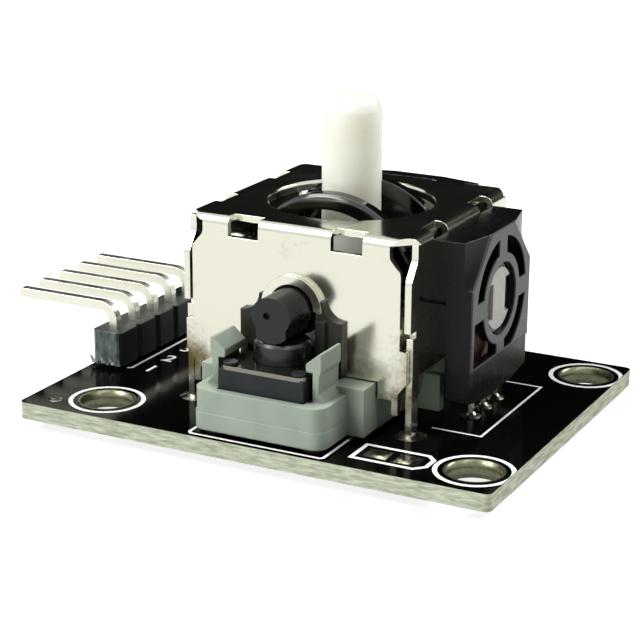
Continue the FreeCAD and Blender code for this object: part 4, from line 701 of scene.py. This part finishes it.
# Painted shade: in the corners, up to about 2 mm from a neighbour, the colour darkens to a
# dull grey-brown.
nook = add(tree, "ShaderNodeAmbientOcclusion", {"Distance": 2.2 * MM}, samples=8)
open_side = add(tree, "ShaderNodeMapRange", {
    "Value": nook.outputs["AO"], "From Min": 0.15, "From Max": 0.85, "To Min": 0.0, "To Max": 1.0,
})
painted_corner_shade = add(tree, "ShaderNodeMix", {
    "Factor": open_side.outputs[0], 6: linear("#585A4E"), 7: shade.outputs["Color"],
}, data_type="RGBA")
rounded = add(tree, "ShaderNodeBevel", {"Radius": 0.12 * MM}, samples=6)
bump = add(tree, "ShaderNodeBump", {
    "Height": grain.outputs["Fac"], "Strength": 0.14, "Distance": 0.03 * MM, "Normal": rounded.outputs[0],
})
tree.links.new(painted_corner_shade.outputs[2], shader.inputs["Base Color"])
tree.links.new(bump.outputs[0], shader.inputs["Normal"])
coat("base_moulding", base_finish)


# Black mouldings
# The yokes, the shaft guide, the switch and the resistor housings are black filled
# plastics. Sliding parts are smoother, and the housings have a fine spark-eroded grain.
def black_plastic(name, dark, light, roughness, grain, depth, level, edge=0.08, painted_light=None):
    """Moulded black plastic, from its dark to its light colour in marks of 1.8 mm.

    grain is the width of its grain and edge the rounding of its corners, in millimetres, depth
    is the strength of the grain and level the specular level. The last argument is a colour and
    the planes, as axis, place and side, beyond which the part is painted with it: painted light,
    a lighter grey where those faces catch the lamps.
    """
    material, tree, shader = dressed(name, dark, roughness, Specular_IOR_Level=level)
    spot = add(tree, "ShaderNodeTexCoord").outputs["Object"]
    pits = add(tree, "ShaderNodeTexNoise", {"Vector": spot, "Scale": 1 / (grain * MM), "Detail": 4.0})
    flow = add(tree, "ShaderNodeTexNoise", {
        "Vector": spot, "Scale": 1 / (1.8 * MM), "Detail": 4.0, "Distortion": 0.4,
    })
    colour = add(
        tree, "ShaderNodeValToRGB", {"Fac": flow.outputs["Fac"]}, stops=((0.3, dark), (0.75, light)),
    ).outputs["Color"]
    rub = add(tree, "ShaderNodeMapRange", {
        "Value": flow.outputs["Fac"], "From Min": 0.3, "From Max": 0.7,
        "To Min": roughness * 1.15, "To Max": roughness * 0.85,
    })
    # Rounded corners draw a thin light line.
    rounded = add(tree, "ShaderNodeBevel", {"Radius": edge * MM}, samples=6)
    bump = add(tree, "ShaderNodeBump", {
        "Height": pits.outputs["Fac"], "Strength": depth, "Distance": 0.04 * MM,
        "Normal": rounded.outputs[0],
    })
    # Painted light: beyond the planes the colour turns to the lighter grey.
    if painted_light:
        lit_grey, planes = painted_light
        split = add(tree, "ShaderNodeSeparateXYZ", {"Vector": spot})
        for axis, plane, side in planes:
            beyond = add(tree, "ShaderNodeMath", {0: split.outputs[axis], 1: plane}, operation=side)
            colour = add(tree, "ShaderNodeMix", {
                "Factor": beyond.outputs[0], 6: colour, 7: linear(lit_grey),
            }, data_type="RGBA").outputs[2]
    tree.links.new(colour, shader.inputs["Base Color"])
    tree.links.new(rub.outputs[0], shader.inputs["Roughness"])
    tree.links.new(bump.outputs[0], shader.inputs["Normal"])
    return material


# The arch is polished, so it mirrors the strip overhead. The cradle and its shaft are rubbed,
# and the shaft's end face is painted a lighter grey, a painted highlight where the front lamp
# falls on it.
SKIN = 0.1 * MM
stub_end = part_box("lower_yoke")[0][1] + SKIN
yoke_black = black_plastic(
    "smooth black acetal", "#060707", "#0C0E0E",
    roughness=0.08, grain=0.25, depth=0.03, level=0.9, edge=0.22,
)
stub_black = black_plastic(
    "rubbed black acetal", "#0A0B0B", "#121413",
    roughness=0.28, grain=0.12, depth=0.14, level=0.2,
    painted_light=("#2B2F2F", [("Y", stub_end, "LESS_THAN")]),
)
coat("upper_yoke", yoke_black)
coat("lower_yoke", stub_black)

# The guide's ribs are matt and brownish, the switch is a dull blue-black, and its button,
# which slides, is polished.
guide_black = black_plastic(
    "ribbed black nylon", "#1A1C17", "#26281F",
    roughness=0.38, grain=0.12, depth=0.20, level=0.3,
)
switch_black = black_plastic(
    "black switch moulding", "#1D2123", "#25292B",
    roughness=0.42, grain=0.10, depth=0.16, level=0.25,
)
button_black = black_plastic(
    "polished black nylon", "#101312", "#1A1E1D",
    roughness=0.26, grain=0.12, depth=0.08, level=0.5, edge=0.10,
)
coat("shaft_guide", guide_black)
coat("switch_body", switch_black)
coat("switch_button", button_black)

# The housings are deep black, and their outer faces at the right and the back are painted a
# lighter grey, a painted sheen of the light they catch at a low angle.
right_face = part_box("right_pot_housing")[1][0] - SKIN
back_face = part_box("back_pot_housing")[1][1] - SKIN
housing_black = black_plastic(
    "spark-eroded black nylon", "#050606", "#080A0B",
    roughness=0.26, grain=0.11, depth=0.07, level=0.18, edge=0.12,
    painted_light=("#424445", [("X", right_face, "GREATER_THAN"), ("Y", back_face, "GREATER_THAN")]),
)
coat("right_pot_housing", housing_black)
coat("back_pot_housing", housing_black)


# Stick and other natural mouldings
# Acetal in its natural cream: waxy, slightly see-through at its edges and smooth, with faint
# draw lines down the post. The spring seat and the rotors are the same plastic.
acetal, tree, shader = dressed(
    "natural acetal", "#F3F3E8", 0.34,
    Subsurface_Weight=0.85, Subsurface_Radius=(3.6 * MM, 3.5 * MM, 2.9 * MM), Subsurface_Scale=1.0,
)
WAX = 1.5 * MM
DRAW_LINE = 0.15 * MM
spot = add(tree, "ShaderNodeTexCoord").outputs["Object"]
wax = add(tree, "ShaderNodeTexNoise", {"Vector": spot, "Scale": 1 / WAX, "Detail": 4.0})
shade = add(
    tree, "ShaderNodeValToRGB", {"Fac": wax.outputs["Fac"]},
    stops=((0.3, "#EEEDDF"), (0.7, "#F3F3E8")),
)
# Draw lines from the tool run along the post.
drawn = add(tree, "ShaderNodeMapping", {"Vector": spot, "Scale": (1.0, 1.0, 0.05)})
lines = add(tree, "ShaderNodeTexNoise", {
    "Vector": drawn.outputs[0], "Scale": 1 / DRAW_LINE, "Detail": 3.0,
})
bump = add(tree, "ShaderNodeBump", {
    "Height": lines.outputs["Fac"], "Strength": 0.10, "Distance": 0.03 * MM,
})
tree.links.new(shade.outputs["Color"], shader.inputs["Base Color"])
tree.links.new(bump.outputs[0], shader.inputs["Normal"])
coat("stick_post", acetal)
coat("spring_seat", acetal)

# The rotors are greyer than the stick, and slightly mottled.
rotor_white, tree, shader = dressed(
    "off-white acetal", "#BBB9B3", 0.38,
    Subsurface_Weight=0.2, Subsurface_Radius=(0.8 * MM, 0.8 * MM, 0.7 * MM), Subsurface_Scale=1.0,
)
MOTTLE = 0.4 * MM
spot = add(tree, "ShaderNodeTexCoord").outputs["Object"]
grain = add(tree, "ShaderNodeTexNoise", {"Vector": spot, "Scale": 1 / MOTTLE, "Detail": 4.0})
shade = add(
    tree, "ShaderNodeValToRGB", {"Fac": grain.outputs["Fac"]},
    stops=((0.0, "#A19F99"), (1.0, "#BBB9B3")),
)
bump = add(tree, "ShaderNodeBump", {
    "Height": grain.outputs["Fac"], "Strength": 0.12, "Distance": 0.03 * MM,
})
tree.links.new(shade.outputs["Color"], shader.inputs["Base Color"])
tree.links.new(bump.outputs[0], shader.inputs["Normal"])
coat("right_pot_rotor", rotor_white)
coat("back_pot_rotor", rotor_white)


# Resistor wafers
# Paper pressed with phenolic resin and punched out, brown and mottled with its fibres. Tinned
# strip leads are riveted to its edge, and a wiper of phosphor bronze rubs on its inner side.
PAPER_FIBRE = 0.35 * MM
phenolic, tree, shader = dressed("phenolic paper board", "#B58F80", 0.45)
spot = add(tree, "ShaderNodeTexCoord").outputs["Object"]
fibre = add(tree, "ShaderNodeTexNoise", {"Vector": spot, "Scale": 1 / PAPER_FIBRE, "Detail": 5.0})
shade = add(
    tree, "ShaderNodeValToRGB", {"Fac": fibre.outputs["Fac"]},
    stops=((0.3, "#7A594F"), (0.75, "#B58F80")),
)
bump = add(tree, "ShaderNodeBump", {
    "Height": fibre.outputs["Fac"], "Strength": 0.15, "Distance": 0.03 * MM,
})
tree.links.new(shade.outputs["Color"], shader.inputs["Base Color"])
tree.links.new(bump.outputs[0], shader.inputs["Normal"])
coat("right_pot_wafer", phenolic)
coat("back_pot_wafer", phenolic)

# Sprung bronze is golden, and duller in patches where it has rubbed.
RUB = 0.3 * MM
bronze, tree, shader = dressed("phosphor bronze strip", "#D3A871", 0.28, Metallic=1.0)
spot = add(tree, "ShaderNodeTexCoord").outputs["Object"]
rub = add(tree, "ShaderNodeTexNoise", {"Vector": spot, "Scale": 1 / RUB, "Detail": 4.0})
dull = add(tree, "ShaderNodeMapRange", {
    "Value": rub.outputs["Fac"], "From Min": 0.3, "From Max": 0.7, "To Min": 0.18, "To Max": 0.38,
})
tree.links.new(dull.outputs[0], shader.inputs["Roughness"])
coat("right_pot_wiper", bronze)
coat("back_pot_wiper", bronze)
coat("right_pot_leads", pin_finish)
coat("back_pot_leads", pin_finish)


# Switch metal and return spring
# The switch's cover plate is thin plated steel held by four staked studs, its dome is
# spring steel, and the return spring is plain drawn wire.
STEEL_WAVE = 0.6 * MM
steel, tree, shader = dressed("bright spring steel", "#807E73", 0.12, Metallic=1.0)
spot = add(tree, "ShaderNodeTexCoord").outputs["Object"]
grain = add(tree, "ShaderNodeTexNoise", {"Vector": spot, "Scale": 1 / STEEL_WAVE, "Detail": 3.0})
dull = add(tree, "ShaderNodeMapRange", {
    "Value": grain.outputs["Fac"], "From Min": 0.3, "From Max": 0.7, "To Min": 0.09, "To Max": 0.16,
})
bump = add(tree, "ShaderNodeBump", {
    "Height": grain.outputs["Fac"], "Strength": 0.06, "Distance": 0.02 * MM,
})
tree.links.new(dull.outputs[0], shader.inputs["Roughness"])
tree.links.new(bump.outputs[0], shader.inputs["Normal"])
coat("switch_plate", steel)
coat("contact_dome", steel)
coat("return_spring", steel)
coat("switch_leads", pin_finish)

# The dome is flattened by the button, and the coil spring is pressed shorter by its seat. Each
# is the same metal piece as the solid it stands for, which is hidden.
GIVING = (
    ("contact_dome", "snap_dome", "dome_sheet", 0.30 * MM),
    ("return_spring", "coil_spring", "spring_wire", 0.20 * MM),
)
for name, given, finish, travel in GIVING:
    (_, _, foot), (_, _, crown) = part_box(name)
    elastic = bpy.data.objects.new(given, nodes[name].data.copy())
    scene.collection.objects.link(elastic)
    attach(elastic, "module")
    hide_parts(name)
    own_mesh(elastic)
